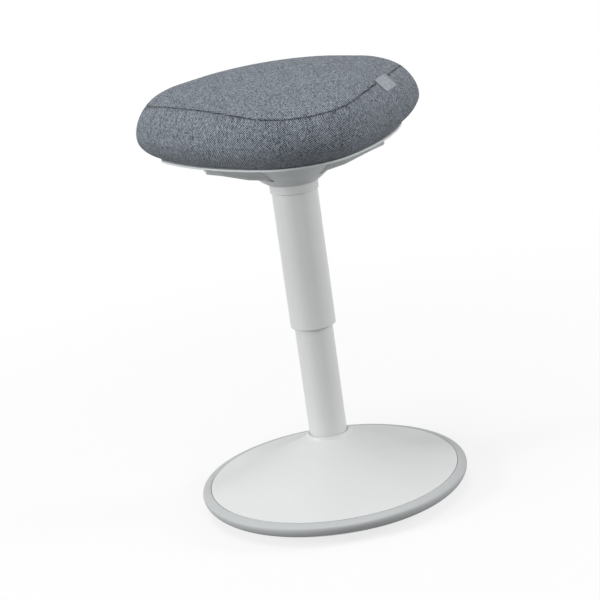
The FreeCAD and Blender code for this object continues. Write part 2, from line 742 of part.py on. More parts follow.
def ball_cage():
    """Nylon cage with a pocket for each ball."""
    body = turned("ball_cage", [
        (s.ball_pitch - s.cage_width / 2, 0),
        (s.ball_pitch + s.cage_width / 2, 0),
        (s.ball_pitch + s.cage_width / 2, s.cage_thickness),
        (s.ball_pitch - s.cage_width / 2, s.cage_thickness),
    ], height=ball_level - s.cage_thickness / 2)
    circle = disc_sketch(body, "pocket_circle", s.ball_pitch,
                         s.ball_radius + s.fit, s.cage_thickness)
    pocket = feature(body, "PartDesign::Pocket", "ball_pocket", circle, s.cage_thickness)
    ring_of(body, "ball_pockets", [pocket], circle, s.ball_count)
    return keep(body, "ball_cage")


def bearing_balls():
    """Balls of the thrust bearing."""
    solids = []
    for x, y in round_places(s.ball_pitch, s.ball_count):
        solids.append(Part.makeSphere(
            float(s.ball_radius), FreeCAD.Vector(x, y, float(ball_level))))
    return shaped("bearing_balls", Part.makeCompound(solids))


# Gas lift, turning side

def piston_rod():
    """Rod from the retaining clip up to the piston, with the clip's groove."""
    neck = s.rod_radius - s.clip_groove_depth
    groove = s.rod_overhang - s.clip_thickness
    length = piston_top - s.tube_foot + s.rod_overhang
    return keep(turned("piston_rod", [
        (0, 0),
        (s.rod_radius, 0),
        (s.rod_radius, groove - s.fit),
        (neck, groove - s.fit),
        (neck, groove + s.clip_thickness - s.fit),
        (s.rod_radius, groove + s.clip_thickness - s.fit),
        (s.rod_radius, length),
        (0, length),
    ], height=s.tube_foot - s.rod_overhang), "piston_rod")


def retaining_clip():
    """Clip under the end disc that keeps the rod in the outer tube."""
    neck = s.rod_radius - s.clip_groove_depth
    return keep(turned("retaining_clip", [
        (neck, 0),
        (s.clip_radius, 0),
        (s.clip_radius, s.clip_thickness - s.fit),
        (neck, s.clip_thickness - s.fit),
    ], height=s.tube_foot - s.clip_thickness), "retaining_clip")


def end_buffer():
    """Rubber buffer that the pressure tube comes down on."""
    return keep(turned("end_buffer", [
        (s.rod_radius, 0),
        (s.buffer_radius, 0),
        (s.buffer_radius, s.buffer_height - s.buffer_bevel),
        (s.buffer_radius - s.buffer_bevel, s.buffer_height),
        (s.rod_radius, s.buffer_height),
    ], height=buffer_level), "end_buffer")


def piston():
    """Piston with a groove for its seal."""
    outer = s.inner_radius - s.inner_wall - s.fit
    groove = outer - s.piston_seal_section * 2
    low = (s.piston_height - s.piston_groove) / 2
    return keep(turned("piston", [
        (s.rod_radius, 0),
        (outer, 0),
        (outer, low),
        (groove, low),
        (groove, low + s.piston_groove),
        (outer, low + s.piston_groove),
        (outer, s.piston_height),
        (s.rod_radius, s.piston_height),
    ], height=piston_foot), "piston")


def piston_seal():
    """Round seal in the piston's groove."""
    seal = doc.addObject("Part::Torus", "piston_seal")
    bind(seal, "Radius1", s.inner_radius - s.inner_wall - s.fit - s.piston_seal_section)
    bind(seal, "Radius2", s.piston_seal_section)
    place(seal, z=piston_foot + s.piston_height / 2)
    return keep(seal, "piston_seal")


# Gas lift, side that rises with the seat

def pressure_tube():
    """Chromed pressure tube with rolled-in ends."""
    lip = s.pressure_bore - s.pressure_roll
    return keep(turned("pressure_tube", [
        (lip, 0),
        (s.pressure_radius, 0),
        (s.pressure_radius, s.pressure_top - pressure_foot),
        (s.pressure_bore, s.pressure_top - pressure_foot),
        (s.pressure_bore, s.rod_guide_lip),
        (lip, s.rod_guide_lip),
    ], height=pressure_foot), "pressure_tube")


def rod_guide():
    """Plastic guide of the piston rod."""
    return keep(turned("rod_guide", [
        (s.rod_radius + s.fit, 0),
        (s.pressure_bore, 0),
        (s.pressure_bore, s.rod_guide_height),
        (s.rod_radius + s.fit, s.rod_guide_height),
    ], height=guide_level), "rod_guide")


def rod_seal():
    """Lip seal on top of the rod guide."""
    return keep(turned("rod_seal", [
        (s.rod_radius + s.fit, 0),
        (s.pressure_bore, 0),
        (s.pressure_bore, s.rod_seal_height),
        (s.rod_radius + s.fit, s.rod_seal_height),
    ], height=seal_level), "rod_seal")


def inner_cylinder():
    """Thin cylinder that the piston runs in."""
    return keep(turned("inner_cylinder", [
        (s.inner_radius - s.inner_wall, 0),
        (s.inner_radius, 0),
        (s.inner_radius, valve_foot - inner_foot),
        (s.inner_radius - s.inner_wall, valve_foot - inner_foot),
    ], height=inner_foot), "inner_cylinder")


def valve_block():
    """Valve block in the top of the pressure tube."""
    return keep(turned("valve_block", [
        (s.pin_radius + s.fit, 0),
        (s.pressure_bore, 0),
        (s.pressure_bore, s.valve_height),
        (s.pin_radius + s.fit, s.valve_height),
    ], height=valve_foot), "valve_block")


def release_button():
    """Button and valve pin that open the gas lift."""
    start = valve_top - s.pin_reach
    step = button_foot - start
    return keep(turned("release_button", [
        (0, 0),
        (s.pin_radius, 0),
        (s.pin_radius, step),
        (s.button_radius, step),
        (s.button_radius, step + s.button_height - s.button_bevel),
        (s.button_radius - s.button_bevel, step + s.button_height),
        (0, step + s.button_height),
    ], height=start), "release_button")


def column_cover():
    """Painted cover tube that slides over the outer tube."""
    length = s.hub_foot - s.sleeve_foot
    bore = s.sleeve_radius - s.sleeve_wall
    return keep(turned("column_cover", [
        (bore, 0),
        (s.sleeve_radius - s.sleeve_round, 0),
        (s.sleeve_radius, s.sleeve_round),
        (s.sleeve_radius, length),
        (bore, length),
    ], height=s.sleeve_foot, arcs={1: s.sleeve_round}), "column_cover")


def cover_glide():
    """Plastic ring that steadies the cover tube on the outer tube."""
    return keep(turned("cover_glide", [
        (s.tube_radius + s.glide_play, 0),
        (s.sleeve_radius - s.sleeve_wall, 0),
        (s.sleeve_radius - s.sleeve_wall, s.glide_height),
        (s.tube_radius + s.glide_play, s.glide_height),
    ], height=s.sleeve_foot + s.glide_inset), "cover_glide")


def cover_collar():
    """Collar band that locks the cover tube to the hub cup."""
    return keep(turned("cover_collar", [
        (s.sleeve_radius, 0),
        (s.collar_radius - s.collar_bevel, 0),
        (s.collar_radius, s.collar_bevel),
        (s.collar_radius, s.hub_foot - s.collar_foot),
        (s.sleeve_radius, s.hub_foot - s.collar_foot),
    ], height=s.collar_foot), "cover_collar")


# Outline of the seat: six tangent arcs

def outline_arcs():
    """Centres, radii and angles of the arcs of the widest outline.

    The nose, the two rear corners and the back are joined by two long flanks,
    each tangent to its neighbours.
    """
    nose = FreeCAD.Vector(0, -float(s.nose_offset), 0)
    corner = FreeCAD.Vector(float(s.corner_reach), float(s.corner_back), 0)
    nose_r, corner_r = float(s.nose_radius), float(s.corner_radius)
    flank_r, back_r = float(s.flank_radius), float(s.back_radius)
    way = corner - nose
    reach = way.Length
    to_nose, to_corner = flank_r - nose_r, flank_r - corner_r
    along = (to_nose ** 2 - to_corner ** 2 + reach ** 2) / (2 * reach)
    aside = math.sqrt(to_nose ** 2 - along ** 2)
    unit = way * (1 / reach)
    flank = nose + unit * along + FreeCAD.Vector(-unit.y, unit.x, 0) * aside
    drop = math.sqrt((back_r - corner_r) ** 2 - corner.x ** 2)
    back = FreeCAD.Vector(0, corner.y - drop, 0)
    first = math.atan2(nose.y - flank.y, nose.x - flank.x)
    second = math.atan2(corner.y - flank.y, corner.x - flank.x)
    third = math.atan2(corner.y - back.y, corner.x - back.x)

    def mirrored(centre, radius, start, finish):
        return (FreeCAD.Vector(-centre.x, centre.y, 0), radius,
                math.pi - finish, math.pi - start)

    side = (flank, flank_r, first, second)
    turn = (corner, corner_r, second, third)
    return [
        (nose, nose_r, -math.pi - first, first),
        side,
        turn,
        (back, back_r, third, math.pi - third),
        mirrored(*turn),
        mirrored(*side),
    ]


def outline(inset, height, share=1.0, hub=0.0):
    """One level outline of the seat as a wire.

    inset draws it in evenly; share below 1 blends it into a circle of radius hub.
    """
    edges = []
    for centre, radius, start, finish in outline_arcs():
        size = share * (radius - inset) + (1 - share) * hub
        middle = centre * share + FreeCAD.Vector(0, 0, height)
        ends = []
        for angle in (start, (start + finish) / 2, finish):
            ends.append(middle + FreeCAD.Vector(math.cos(angle), math.sin(angle), 0) * size)
        edges.append(Part.Arc(*ends).toShape())
    return Part.Wire(edges)


def slab(inset, low, high):
    """A flat board of the outline's form."""
    face = Part.Face(outline(float(inset), float(low)))
    return face.extrude(FreeCAD.Vector(0, 0, float(high) - float(low)))


# Seat

def side_inset(height):
    """How far the cushion's side stands inside its widest line at a height."""
    above = height - float(s.waist_height)
    if above >= 0:
        return float(s.shoulder_depth) * (above / float(s.shoulder_height)) ** 2
    sine = -above / float(s.undercut_height)
    return float(s.undercut_depth) * (1 - math.sqrt(1 - sine * sine))


def cushion_form(inset, sunk):
    """The crowned, drawn-in form of the cushion.

    inset moves its sides in, sunk lowers its crown.
    """
    foot, waist = float(s.cushion_foot), float(s.waist_height)
    peak = float(s.crown_height + s.side_excess)
    levels = [foot + (waist - foot) * step / SECTIONS_BELOW
              for step in range(SECTIONS_BELOW)]
    levels += [waist + (peak - waist) * step / SECTIONS_ABOVE
               for step in range(SECTIONS_ABOVE + 1)]
    wires = [outline(side_inset(level) + inset, level) for level in levels]
    sides = Part.makeLoft(wires, True, False)
    half = float(s.crown_half)
    below = Part.makeBox(2 * half, 2 * half, half, FreeCAD.Vector(-half, -half, foot - half))
    return sides.common(crown_block(sunk)).cut(below)


def crown_block(sunk):
    """A block whose top is the seat's crown, curved both across and along."""
    top = float(s.crown_height) - sunk
    across, along = float(s.crown_across), float(s.crown_along)
    half, depth = float(s.crown_half), float(s.crown_depth)
    shoulder = across - math.sqrt(across ** 2 - half ** 2)
    y = float(s.crown_back)
    left = FreeCAD.Vector(-half, y, top - shoulder)
    right = FreeCAD.Vector(half, y, top - shoulder)
    below_right = FreeCAD.Vector(half, y, top - depth)
    below_left = FreeCAD.Vector(-half, y, top - depth)
    edges = [
        Part.Arc(left, FreeCAD.Vector(0, y, top), right).toShape(),
        Part.makeLine(right, below_right),
        Part.makeLine(below_right, below_left),
        Part.makeLine(below_left, left),
    ]
    face = Part.Face(Part.Wire(edges))
    pivot = FreeCAD.Vector(0, y, top - along)
    spread = float(s.crown_spread)
    face.rotate(pivot, FreeCAD.Vector(1, 0, 0), -spread)
    return face.revolve(pivot, FreeCAD.Vector(1, 0, 0), 2 * spread)


def upholstery():
    """Foam with its board pocket, the side band and the top panel of the cover."""
    fabric = float(s.fabric)
    outside = cushion_form(0, 0)
    under_top = cushion_form(0, fabric)
    inside = cushion_form(fabric, fabric)
    shaped("cover_top_panel", outside.cut(crown_block(fabric)))
    shaped("cover_side_band", under_top.cut(inside))
    pocket = slab(s.board_inset, s.cushion_foot, s.cushion_foot + s.board_thickness)
    board_top = s.cushion_foot + s.board_thickness
    nuts = [cylinder_at(x, y, board_top - CUT_OVER, board_top + s.nut_flange,
                        s.nut_flange_radius) for x, y in plate_bolt_places()]
    return shaped("seat_foam", inside.cut([pocket, *nuts]))


def seat_board():
    """Plywood board in the cushion, bored for the tee nuts and the shell's screws."""
    board = slab(s.board_inset, s.cushion_foot, s.cushion_foot + s.board_thickness)
    holes = [cylinder_at(x, y, s.cushion_foot, s.cushion_foot + s.board_thickness,
                         s.nut_radius) for x, y in plate_bolt_places()]
    holes += [cylinder_at(x, y, s.cushion_foot, s.cushion_foot + s.shell_screw_bite,
                          s.shell_screw_radius) for x, y in shell_screw_places()]
    return shaped("seat_board", board.cut(holes))


def label_tab():
    """Blank woven tab sewn into the seam at the right-hand side."""
    width, length, depth = float(s.tab_width), float(s.tab_length), float(s.tab_thickness)
    tab = Part.makeBox(depth, width, length, FreeCAD.Vector(0, -width / 2, -length))
    tab.rotate(FreeCAD.Vector(), FreeCAD.Vector(1, 0, 0), float(s.tab_slope))
    tab.rotate(FreeCAD.Vector(), FreeCAD.Vector(0, 1, 0), -float(s.tab_lean))
    tab.rotate(FreeCAD.Vector(), FreeCAD.Vector(0, 0, 1), float(s.tab_heading))
    tab.translate(FreeCAD.Vector(float(s.tab_reach), -float(s.tab_front), float(s.tab_height)))
    return shaped("label_tab", tab)


def bowl(wall):
    """The funnel of the seat shell, drawn in by a wall's thickness."""
    hub = float(s.hub_radius) - wall
    inset = float(s.rim_inset) + wall
    low, high = float(s.hub_top), float(shell_foot)
    mouth = float(s.bowl_share)
    wires = [outline(inset, low + (high - low) * rise, mouth * part, hub)
             for part, rise in FUNNEL_STEPS]
    return Part.makeLoft(wires, True, True)


def under_shell():
    """Plastic shell under the cushion: a flat rim and a funnel down to the hub cup."""
    wall = float(s.shell_wall)
    rim = slab(s.rim_inset, shell_foot, s.cushion_foot)
    mouth = Part.Face(outline(float(s.rim_inset) + wall, float(shell_foot),
                              float(s.bowl_share), float(s.hub_radius) - wall))
    opening = mouth.extrude(FreeCAD.Vector(0, 0, wall))
    shell = rim.fuse(bowl(0)).cut([bowl(wall), opening])
    holes = [cylinder_at(x, y, shell_foot, s.cushion_foot, s.shell_screw_radius + s.fit)
             for x, y in shell_screw_places()]
    shell = shell.cut(holes + [arm_slot(1), arm_slot(-1)])
    return shaped("under_shell", shell.removeSplitter())


def hub_cup():
    """Plastic cup round the top of the column, slotted for the lever's arms."""
    bore = s.sleeve_radius - s.sleeve_wall
    wall = s.shell_wall
    body = turned("hub_cup_turned", [
        (bore, 0),
        (s.collar_radius, 0),
        (s.hub_radius, s.hub_top - s.hub_foot),
        (s.hub_radius - wall, s.hub_top - s.hub_foot),
        (s.collar_radius - wall, wall),
        (bore, wall),
    ], height=s.hub_foot, arcs={1: s.hub_curve, 3: -s.hub_curve})
    doc.recompute()
    slots = doc.addObject("Part::Feature", "hub_cup_slots")
    slots.Shape = Part.makeCompound([arm_slot(1), arm_slot(-1)])
    return keep(cut("hub_cup", body, slots), "hub_cup")


# Seat bracket and its fasteners

def plate_bolt_places():
    """Places of the four bolts of the bracket's top plate."""
    side = float(s.plate_bolt_out)
    for x in (-side, side):
        yield x, -float(s.plate_bolt_front)
        yield x, float(s.plate_bolt_back)


def shell_screw_places():
    """Places of the six screws of the shell's rim: two each at nose, sides and back."""
    nose, _, corner = outline_arcs()[:3]
    for (centre, radius, _, _), heading in (
            (nose, s.nose_screw_heading),
            (corner, s.side_screw_heading),
            (corner, s.back_screw_heading)):
        angle = math.radians(float(heading))
        reach = radius - float(s.rim_inset + s.shell_screw_inset)
        side = centre.x + reach * math.cos(angle)
        along = centre.y + reach * math.sin(angle)
        yield side, along
        yield -side, along


def seat_bracket():
    """Welded steel bracket: top plate, cheeks with ears, lower plate and socket."""
    half = s.plate_width / 2
    inner = s.cheek_gap / 2
    outer = inner + s.plate_thickness
    pieces = [box("top_plate", (-half, half), (-s.plate_front, s.plate_back),
                  (plate_foot, s.cushion_foot))]
    for name, low, high in (("left", -outer, -inner), ("right", inner, outer)):
        pieces.append(box(f"ear_{name}", (low, high), (-s.cheek_front, -s.floor_front),
                          (ear_foot, plate_foot)))
        pieces.append(box(f"cheek_{name}", (low, high), (-s.floor_front, s.cheek_back),
                          (floor_foot, plate_foot)))
    pieces.append(box("lower_plate", (-outer, outer), (-s.floor_front, s.cheek_back),
                      (floor_foot, s.pressure_top)))
    pieces.append(rod("cone_socket", s.cone_radius, s.cone_height,
                      z=s.pressure_top - s.cone_height))
    holes = [rod("cone_bore", s.pressure_radius, s.cone_height + 2 * CUT_OVER,
                 z=s.pressure_top - s.cone_height - CUT_OVER),
             rod("pin_bore", s.pin_radius, s.pin_length, x=-s.pin_length / 2,
                 y=-s.pivot_front, z=s.pivot_height, across=True)]
    for index, (side, along) in enumerate((
            (-s.plate_bolt_out, -s.plate_bolt_front),
            (s.plate_bolt_out, -s.plate_bolt_front),
            (-s.plate_bolt_out, s.plate_bolt_back),
            (s.plate_bolt_out, s.plate_bolt_back))):
        holes.append(rod(f"bolt_bore_{index}", s.plate_bolt_radius + s.fit,
                         s.plate_thickness + 2 * CUT_OVER, x=side, y=along,
                         z=plate_foot - CUT_OVER))
    bracket = cut("seat_bracket", joined("bracket_steel", pieces),
                  joined("bracket_holes", holes))
    return keep(bracket, "seat_bracket")


def plate_bolts():
    """Bolts from below through the bracket's top plate into the tee nuts."""
    solids = []
    for x, y in plate_bolt_places():
        head = cylinder_at(x, y, plate_foot - s.plate_bolt_head_height, plate_foot,
                           s.plate_bolt_head_radius)
        shank = cylinder_at(x, y, plate_foot, s.cushion_foot + s.board_thickness,
                            s.plate_bolt_radius)
        solids.append(head.fuse(shank))
    return shaped("plate_bolts", Part.makeCompound(solids))


def tee_nuts():
    """Tee nuts in the board, with their flanges on its upper face."""
    solids = []
    top = s.cushion_foot + s.board_thickness
    for x, y in plate_bolt_places():
        barrel = cylinder_at(x, y, s.cushion_foot, top, s.nut_radius)
        flange = cylinder_at(x, y, top, top + s.nut_flange, s.nut_flange_radius)
        bore = cylinder_at(x, y, s.cushion_foot, top, s.plate_bolt_radius)
        solids.append(barrel.fuse(flange).cut(bore))
    return shaped("tee_nuts", Part.makeCompound(solids))


def shell_screws():
    """Screws from below through the shell's rim into the board."""
    solids = []
    for x, y in shell_screw_places():
        head = cylinder_at(x, y, shell_foot - s.shell_screw_head_height, shell_foot,
                           s.shell_screw_head_radius)
        shank = cylinder_at(x, y, shell_foot, s.cushion_foot + s.shell_screw_bite,
                            s.shell_screw_radius)
        solids.append(head.fuse(shank))
    return shaped("shell_screws", Part.makeCompound(solids))


# Release lever

def arm_stations():
    """Middle, depth, underside and thickness of an arm at its four stations."""
    return [
        (s.bar_half, s.pivot_front, s.bar_depth, s.bar_foot, s.bar_thickness),
        (s.elbow_reach, s.elbow_front, s.elbow_depth, s.elbow_foot, s.elbow_thickness),
        (s.wrist_reach, s.wrist_front, s.wrist_depth, s.wrist_foot, s.wrist_thickness),
        (s.paddle_reach, s.paddle_front, s.paddle_depth, s.paddle_foot, s.paddle_thickness),
    ]


def arm_section(station, sign, beside=0.0, below=0.0, above=0.0):
    """A rectangle across an arm, widened on request."""
    x, front, depth, foot, thickness = (float(value) for value in station)
    y_low, y_high = -front - depth / 2 - beside, -front + depth / 2 + beside
    z_low, z_high = foot - below, foot + thickness + above
    corners = [(y_low, z_low), (y_high, z_low), (y_high, z_high), (y_low, z_high)]
    points = [FreeCAD.Vector(sign * x, y, z) for y, z in corners]
    return Part.makePolygon(points + points[:1])


def arm_slot(sign):
    """The space that an arm needs where it leaves the hub."""
    play = (float(s.slot_side_play), float(s.slot_lower_play), float(s.slot_upper_play))
    root, elbow, wrist, _ = arm_stations()
    stations = [(s.slot_start, *root[1:]), root, elbow, wrist]
    wires = [arm_section(station, sign, *play) for station in stations]
    return Part.makeLoft(wires, True, True)


def release_lever():
    """Lever with a tongue over the button and a paddle out at each side."""
    pivot = FreeCAD.Vector(0, -float(s.pivot_front), float(s.pivot_height))
    hub_half = float(s.pivot_hub_width) / 2
    across = FreeCAD.Vector(1, 0, 0)
    hub = Part.makeCylinder(float(s.pivot_hub_radius), 2 * hub_half,
                            pivot - across * hub_half, across)
    reach, depth = float(s.bar_half), float(s.bar_depth)
    bar = Part.makeBox(2 * reach, depth, float(s.bar_thickness), FreeCAD.Vector(
        -reach, pivot.y - depth / 2, float(s.bar_foot)))
    web_depth = 2 * float(s.pivot_hub_radius)
    web_foot = float(s.bar_foot)
    web = Part.makeBox(2 * hub_half, web_depth, pivot.z - web_foot, FreeCAD.Vector(
        -hub_half, pivot.y - web_depth / 2, web_foot))
    width = float(s.tongue_width)
    tongue = Part.makeBox(width, float(s.tongue_back) - pivot.y,
                          float(s.tongue_thickness),
                          FreeCAD.Vector(-width / 2, pivot.y, float(tongue_foot)))
    lever = hub.fuse([bar, web, tongue])
    for sign in (-1, 1):
        wires = [arm_section(station, sign) for station in arm_stations()]
        arm = Part.makeLoft(wires, True, True)
        lever = lever.fuse(rounded_end(arm, sign))
    bore = Part.makeCylinder(float(s.pin_radius + s.fit), 2 * (hub_half + CUT_OVER),
                             pivot - across * (hub_half + CUT_OVER), across)
    return shaped("release_lever", lever.cut(bore).removeSplitter())


def rounded_end(arm, sign):
    """Round the four outer edges of a paddle's end face."""
    end = sign * float(s.paddle_reach)
    edges = [edge for edge in arm.Edges
             if all(abs(vertex.X - end) < 0.01 for vertex in edge.Vertexes)]
    return arm.makeFillet(float(s.paddle_round), edges)


def lever_pin():
    """Pivot pin through the bracket's ears."""
    pin = rod("lever_pin", s.pin_radius, s.pin_length, x=-s.pin_length / 2,
              y=-s.pivot_front, z=s.pivot_height, across=True)
    return keep(pin, "lever_pin")


def lever_spring():
    """Torsion spring on the pin that lifts the tongue off the button."""
    start = s.pivot_hub_width / 2 + s.spring_end_play
    length = s.cheek_gap / 2 - s.spring_end_play - start
    bore = s.pin_radius + s.spring_play
    coil = cut("lever_spring",
               rod("spring_outside", bore + s.spring_wire, length, x=start,
                   y=-s.pivot_front, z=s.pivot_height, across=True),
               rod("spring_inside", bore, length + 2 * CUT_OVER, x=start - CUT_OVER,
                   y=-s.pivot_front, z=s.pivot_height, across=True))
    return keep(coil, "lever_spring")


def build():
    """Make every sub-part from the floor up."""
    for make in (base_pan, pan_screws, foot_pad, rocker_ring, base_weight,
                 column_socket, socket_bolts, base_cover, outer_tube, tube_end_disc,
                 guide_bush):
        make()
    race("lower_race", s.rod_radius + s.race_play, disc_top)
    ball_cage()
    bearing_balls()
    race("upper_race", s.rod_radius, race_level)
    for make in (piston_rod, retaining_clip, end_buffer, piston, piston_seal,
                 pressure_tube, rod_guide, rod_seal, inner_cylinder, valve_block,
                 release_button, column_cover, cover_glide, cover_collar, hub_cup,
                 under_shell, seat_board, upholstery, label_tab, seat_bracket,
                 plate_bolts, tee_nuts, shell_screws, release_lever, lever_pin,
                 lever_spring):
        make()


def check():
    """Stop unless every object is sound and every sub-part is a valid solid."""
    doc.recompute()
    for obj in doc.Objects:
        if {"Invalid", "Error"} & set(obj.State):
            raise RuntimeError(f"{obj.Name}: {obj.State}")
    for node in nodes:
        shape = node.Shape
        if shape.isNull() or not shape.isValid() or not shape.Solids:
            raise RuntimeError(f"{node.Label}: no valid solid")
        print(f"{node.Label}: {len(shape.Solids)} solid(s), {shape.Volume / 1000:.2f} cm3")


def export():
    """Write each sub-part's solids to its own file."""
    os.makedirs("parts", exist_ok=True)
    for node in nodes:
        node.Shape.exportStep(os.path.join("parts", f"{node.Label}.step"))


build()
check()
export()
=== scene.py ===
"""Dresses the wobble stool: woven cushion, moulded shell, painted column and base."""
import json
import logging
import math
from dataclasses import dataclass, field
from enum import Enum
from functools import cached_property
from typing import Callable, Iterable, Optional

import bpy
from mathutils import Matrix, Vector, noise
from mathutils.bvhtree import BVHTree
from mathutils.kdtree import KDTree

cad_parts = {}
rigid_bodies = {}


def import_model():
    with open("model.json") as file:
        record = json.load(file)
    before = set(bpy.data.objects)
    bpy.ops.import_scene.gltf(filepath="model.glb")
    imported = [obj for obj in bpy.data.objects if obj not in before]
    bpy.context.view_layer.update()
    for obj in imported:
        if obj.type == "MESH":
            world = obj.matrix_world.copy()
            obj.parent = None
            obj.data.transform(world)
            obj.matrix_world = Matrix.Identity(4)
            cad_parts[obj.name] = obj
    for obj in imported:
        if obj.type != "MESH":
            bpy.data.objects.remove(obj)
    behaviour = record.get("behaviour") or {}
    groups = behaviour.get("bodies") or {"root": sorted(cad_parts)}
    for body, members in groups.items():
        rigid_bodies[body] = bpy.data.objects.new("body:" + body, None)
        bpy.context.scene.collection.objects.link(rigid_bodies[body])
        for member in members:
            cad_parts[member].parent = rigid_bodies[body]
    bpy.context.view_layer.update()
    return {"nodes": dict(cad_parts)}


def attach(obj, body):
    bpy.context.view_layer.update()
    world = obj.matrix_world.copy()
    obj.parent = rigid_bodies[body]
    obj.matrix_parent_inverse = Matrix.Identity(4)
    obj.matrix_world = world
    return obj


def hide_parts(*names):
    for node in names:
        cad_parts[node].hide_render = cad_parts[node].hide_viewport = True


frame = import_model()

log = logging.getLogger("wobble_stool")

MM = 0.001
FULL_TURN = 2 * math.pi

Colour = tuple[float, float, float, float]
Point = tuple[float, float, float]
Face = tuple[int, ...]

MIX_FACTOR, MIX_A, MIX_B, MIX_RESULT = 0, 6, 7, 2


class Body(Enum):
    """Bodies that the scene's own pieces ride on."""

    BASE = "base"
    SEAT = "seat"


class Slot(Enum):
    """Material slots of the record."""

    WOVEN_COVER = "woven_cover"
    TAB_CLOTH = "tab_cloth"
    SEAT_FOAM = "seat_foam"
    PLYWOOD = "plywood"
    GREY_PLASTIC = "grey_plastic"
    DARK_PLASTIC = "dark_plastic"
    WHITE_PLASTIC = "white_plastic"
    PALE_PAINT = "pale_paint"
    PALE_PLASTIC = "pale_plastic"
    BLACK_PAINT = "black_paint"
    RING_RUBBER = "ring_rubber"
    BLACK_RUBBER = "black_rubber"
    BALLAST_STEEL = "ballast_steel"
    ZINC_STEEL = "zinc_steel"
    BRIGHT_STEEL = "bright_steel"
    ALLOY = "alloy"


def tone(red: int, green: int, blue: int) -> Colour:
    """Turn a display colour into the linear colour that a node takes.

    Args:
        red: Red, 0 to 255.
        green: Green, 0 to 255.
        blue: Blue, 0 to 255.

    Returns:
        Linear red, green, blue and an alpha of 1.
    """
    linear = []
    for value in (red, green, blue):
        share = value / 255
        linear.append(share / 12.92 if share <= 0.04045 else ((share + 0.055) / 1.055) ** 2.4)
    return (*linear, 1.0)


def shade(colour: Colour, by: float) -> Colour:
    """Return the colour lightened or darkened by a factor."""
    return (*(min(1.0, part * by) for part in colour[:3]), 1.0)


# Nodes

class Wiring:
    """Adds nodes to one node tree and links them."""

    def __init__(self, tree: bpy.types.NodeTree) -> None:
        """Start on an empty tree.

        Args:
            tree: Tree of a material, a world or a group.
        """
        self.tree = tree
        self.placed = 0

    def put(self, kind: str, values: Optional[dict] = None, **settings: object) -> bpy.types.Node:
        """Add one node.

        Args:
            kind: Type of the node.
            values: Value, or socket to link from, by the input's name or number.
            **settings: Properties of the node.

        Returns:
            The new node.
        """
        node = self.tree.nodes.new(kind)
        node.location = (200 * (self.placed % 12), -260 * (self.placed // 12))
        self.placed += 1
        for name, value in settings.items():
            setattr(node, name, value)
        for name, value in (values or {}).items():
            self.feed(node.inputs[name], value)
        return node

    def feed(self, socket: bpy.types.NodeSocket, value: object) -> None:
        """Link a socket to an input, or set the input's value."""
        if isinstance(value, bpy.types.NodeSocket):
            self.tree.links.new(value, socket)
        else:
            socket.default_value = value

    def maths(self, operation: str, *values: object, clamp: bool = False) -> bpy.types.NodeSocket:
        """Add a Math node.

        Args:
            operation: Name of the operation.
            *values: Numbers or sockets.
            clamp: Whether the result stays between 0 and 1.

        Returns:
            The result's socket.
        """
        node = self.put("ShaderNodeMath", dict(enumerate(values)), operation=operation,
                        use_clamp=clamp)
        return node.outputs[0]

    def weighed(self, first: object, first_weight: object, second: object,
                second_weight: object) -> bpy.types.NodeSocket:
        """Add two values, each times its weight."""
        return self.maths("ADD", self.maths("MULTIPLY", first, first_weight),
                          self.maths("MULTIPLY", second, second_weight))

    def vector(self, operation: str, values: dict) -> bpy.types.NodeSocket:
        """Add a Vector Math node and return its vector's socket."""
        return self.put("ShaderNodeVectorMath", values, operation=operation).outputs["Vector"]

    def speckle(self, dimensions: str, values: dict) -> bpy.types.NodeSocket:
        """Add a white noise texture and return its value's socket."""
        return self.put("ShaderNodeTexWhiteNoise", values,
                        noise_dimensions=dimensions).outputs["Value"]

    def mix(self, share: object, first: object, second: object,
            blend: str = "MIX") -> bpy.types.NodeSocket:
        """Mix two colours.

        Args:
            share: How much of the second one, 0 to 1.
            first: Colour or socket.
            second: Colour or socket.
            blend: Way of mixing.

        Returns:
            The mixed colour's socket.
        """
        node = self.put("ShaderNodeMix", data_type="RGBA", blend_type=blend)
        self.feed(node.inputs[MIX_FACTOR], share)
        self.feed(node.inputs[MIX_A], first)
        self.feed(node.inputs[MIX_B], second)
        return node.outputs[MIX_RESULT]

    def span(self, value: bpy.types.NodeSocket, low: object, high: object,
             to_low: float = 0.0, to_high: float = 1.0) -> bpy.types.NodeSocket:
        """Map a value from one range to another, clamped.

        Args:
            value: Value to map.
            low: Start of its range.
            high: End of its range.
            to_low: Start of the new range.
            to_high: End of the new range.

        Returns:
            The mapped value's socket.
        """
        node = self.put("ShaderNodeMapRange",
                        {"Value": value, "From Min": low, "From Max": high,
                         "To Min": to_low, "To Max": to_high},
                        interpolation_type="SMOOTHSTEP")
        return node.outputs["Result"]

    def noise(self, vector: bpy.types.NodeSocket, scale: object, detail: float = 2.0,
              roughness: float = 0.5) -> bpy.types.NodeSocket:
        """Add a noise texture and return its value's socket."""
        node = self.put("ShaderNodeTexNoise",
                        {"Vector": vector, "Scale": scale, "Detail": detail,
                         "Roughness": roughness})
        return node.outputs["Fac"]


# Effects that several materials share

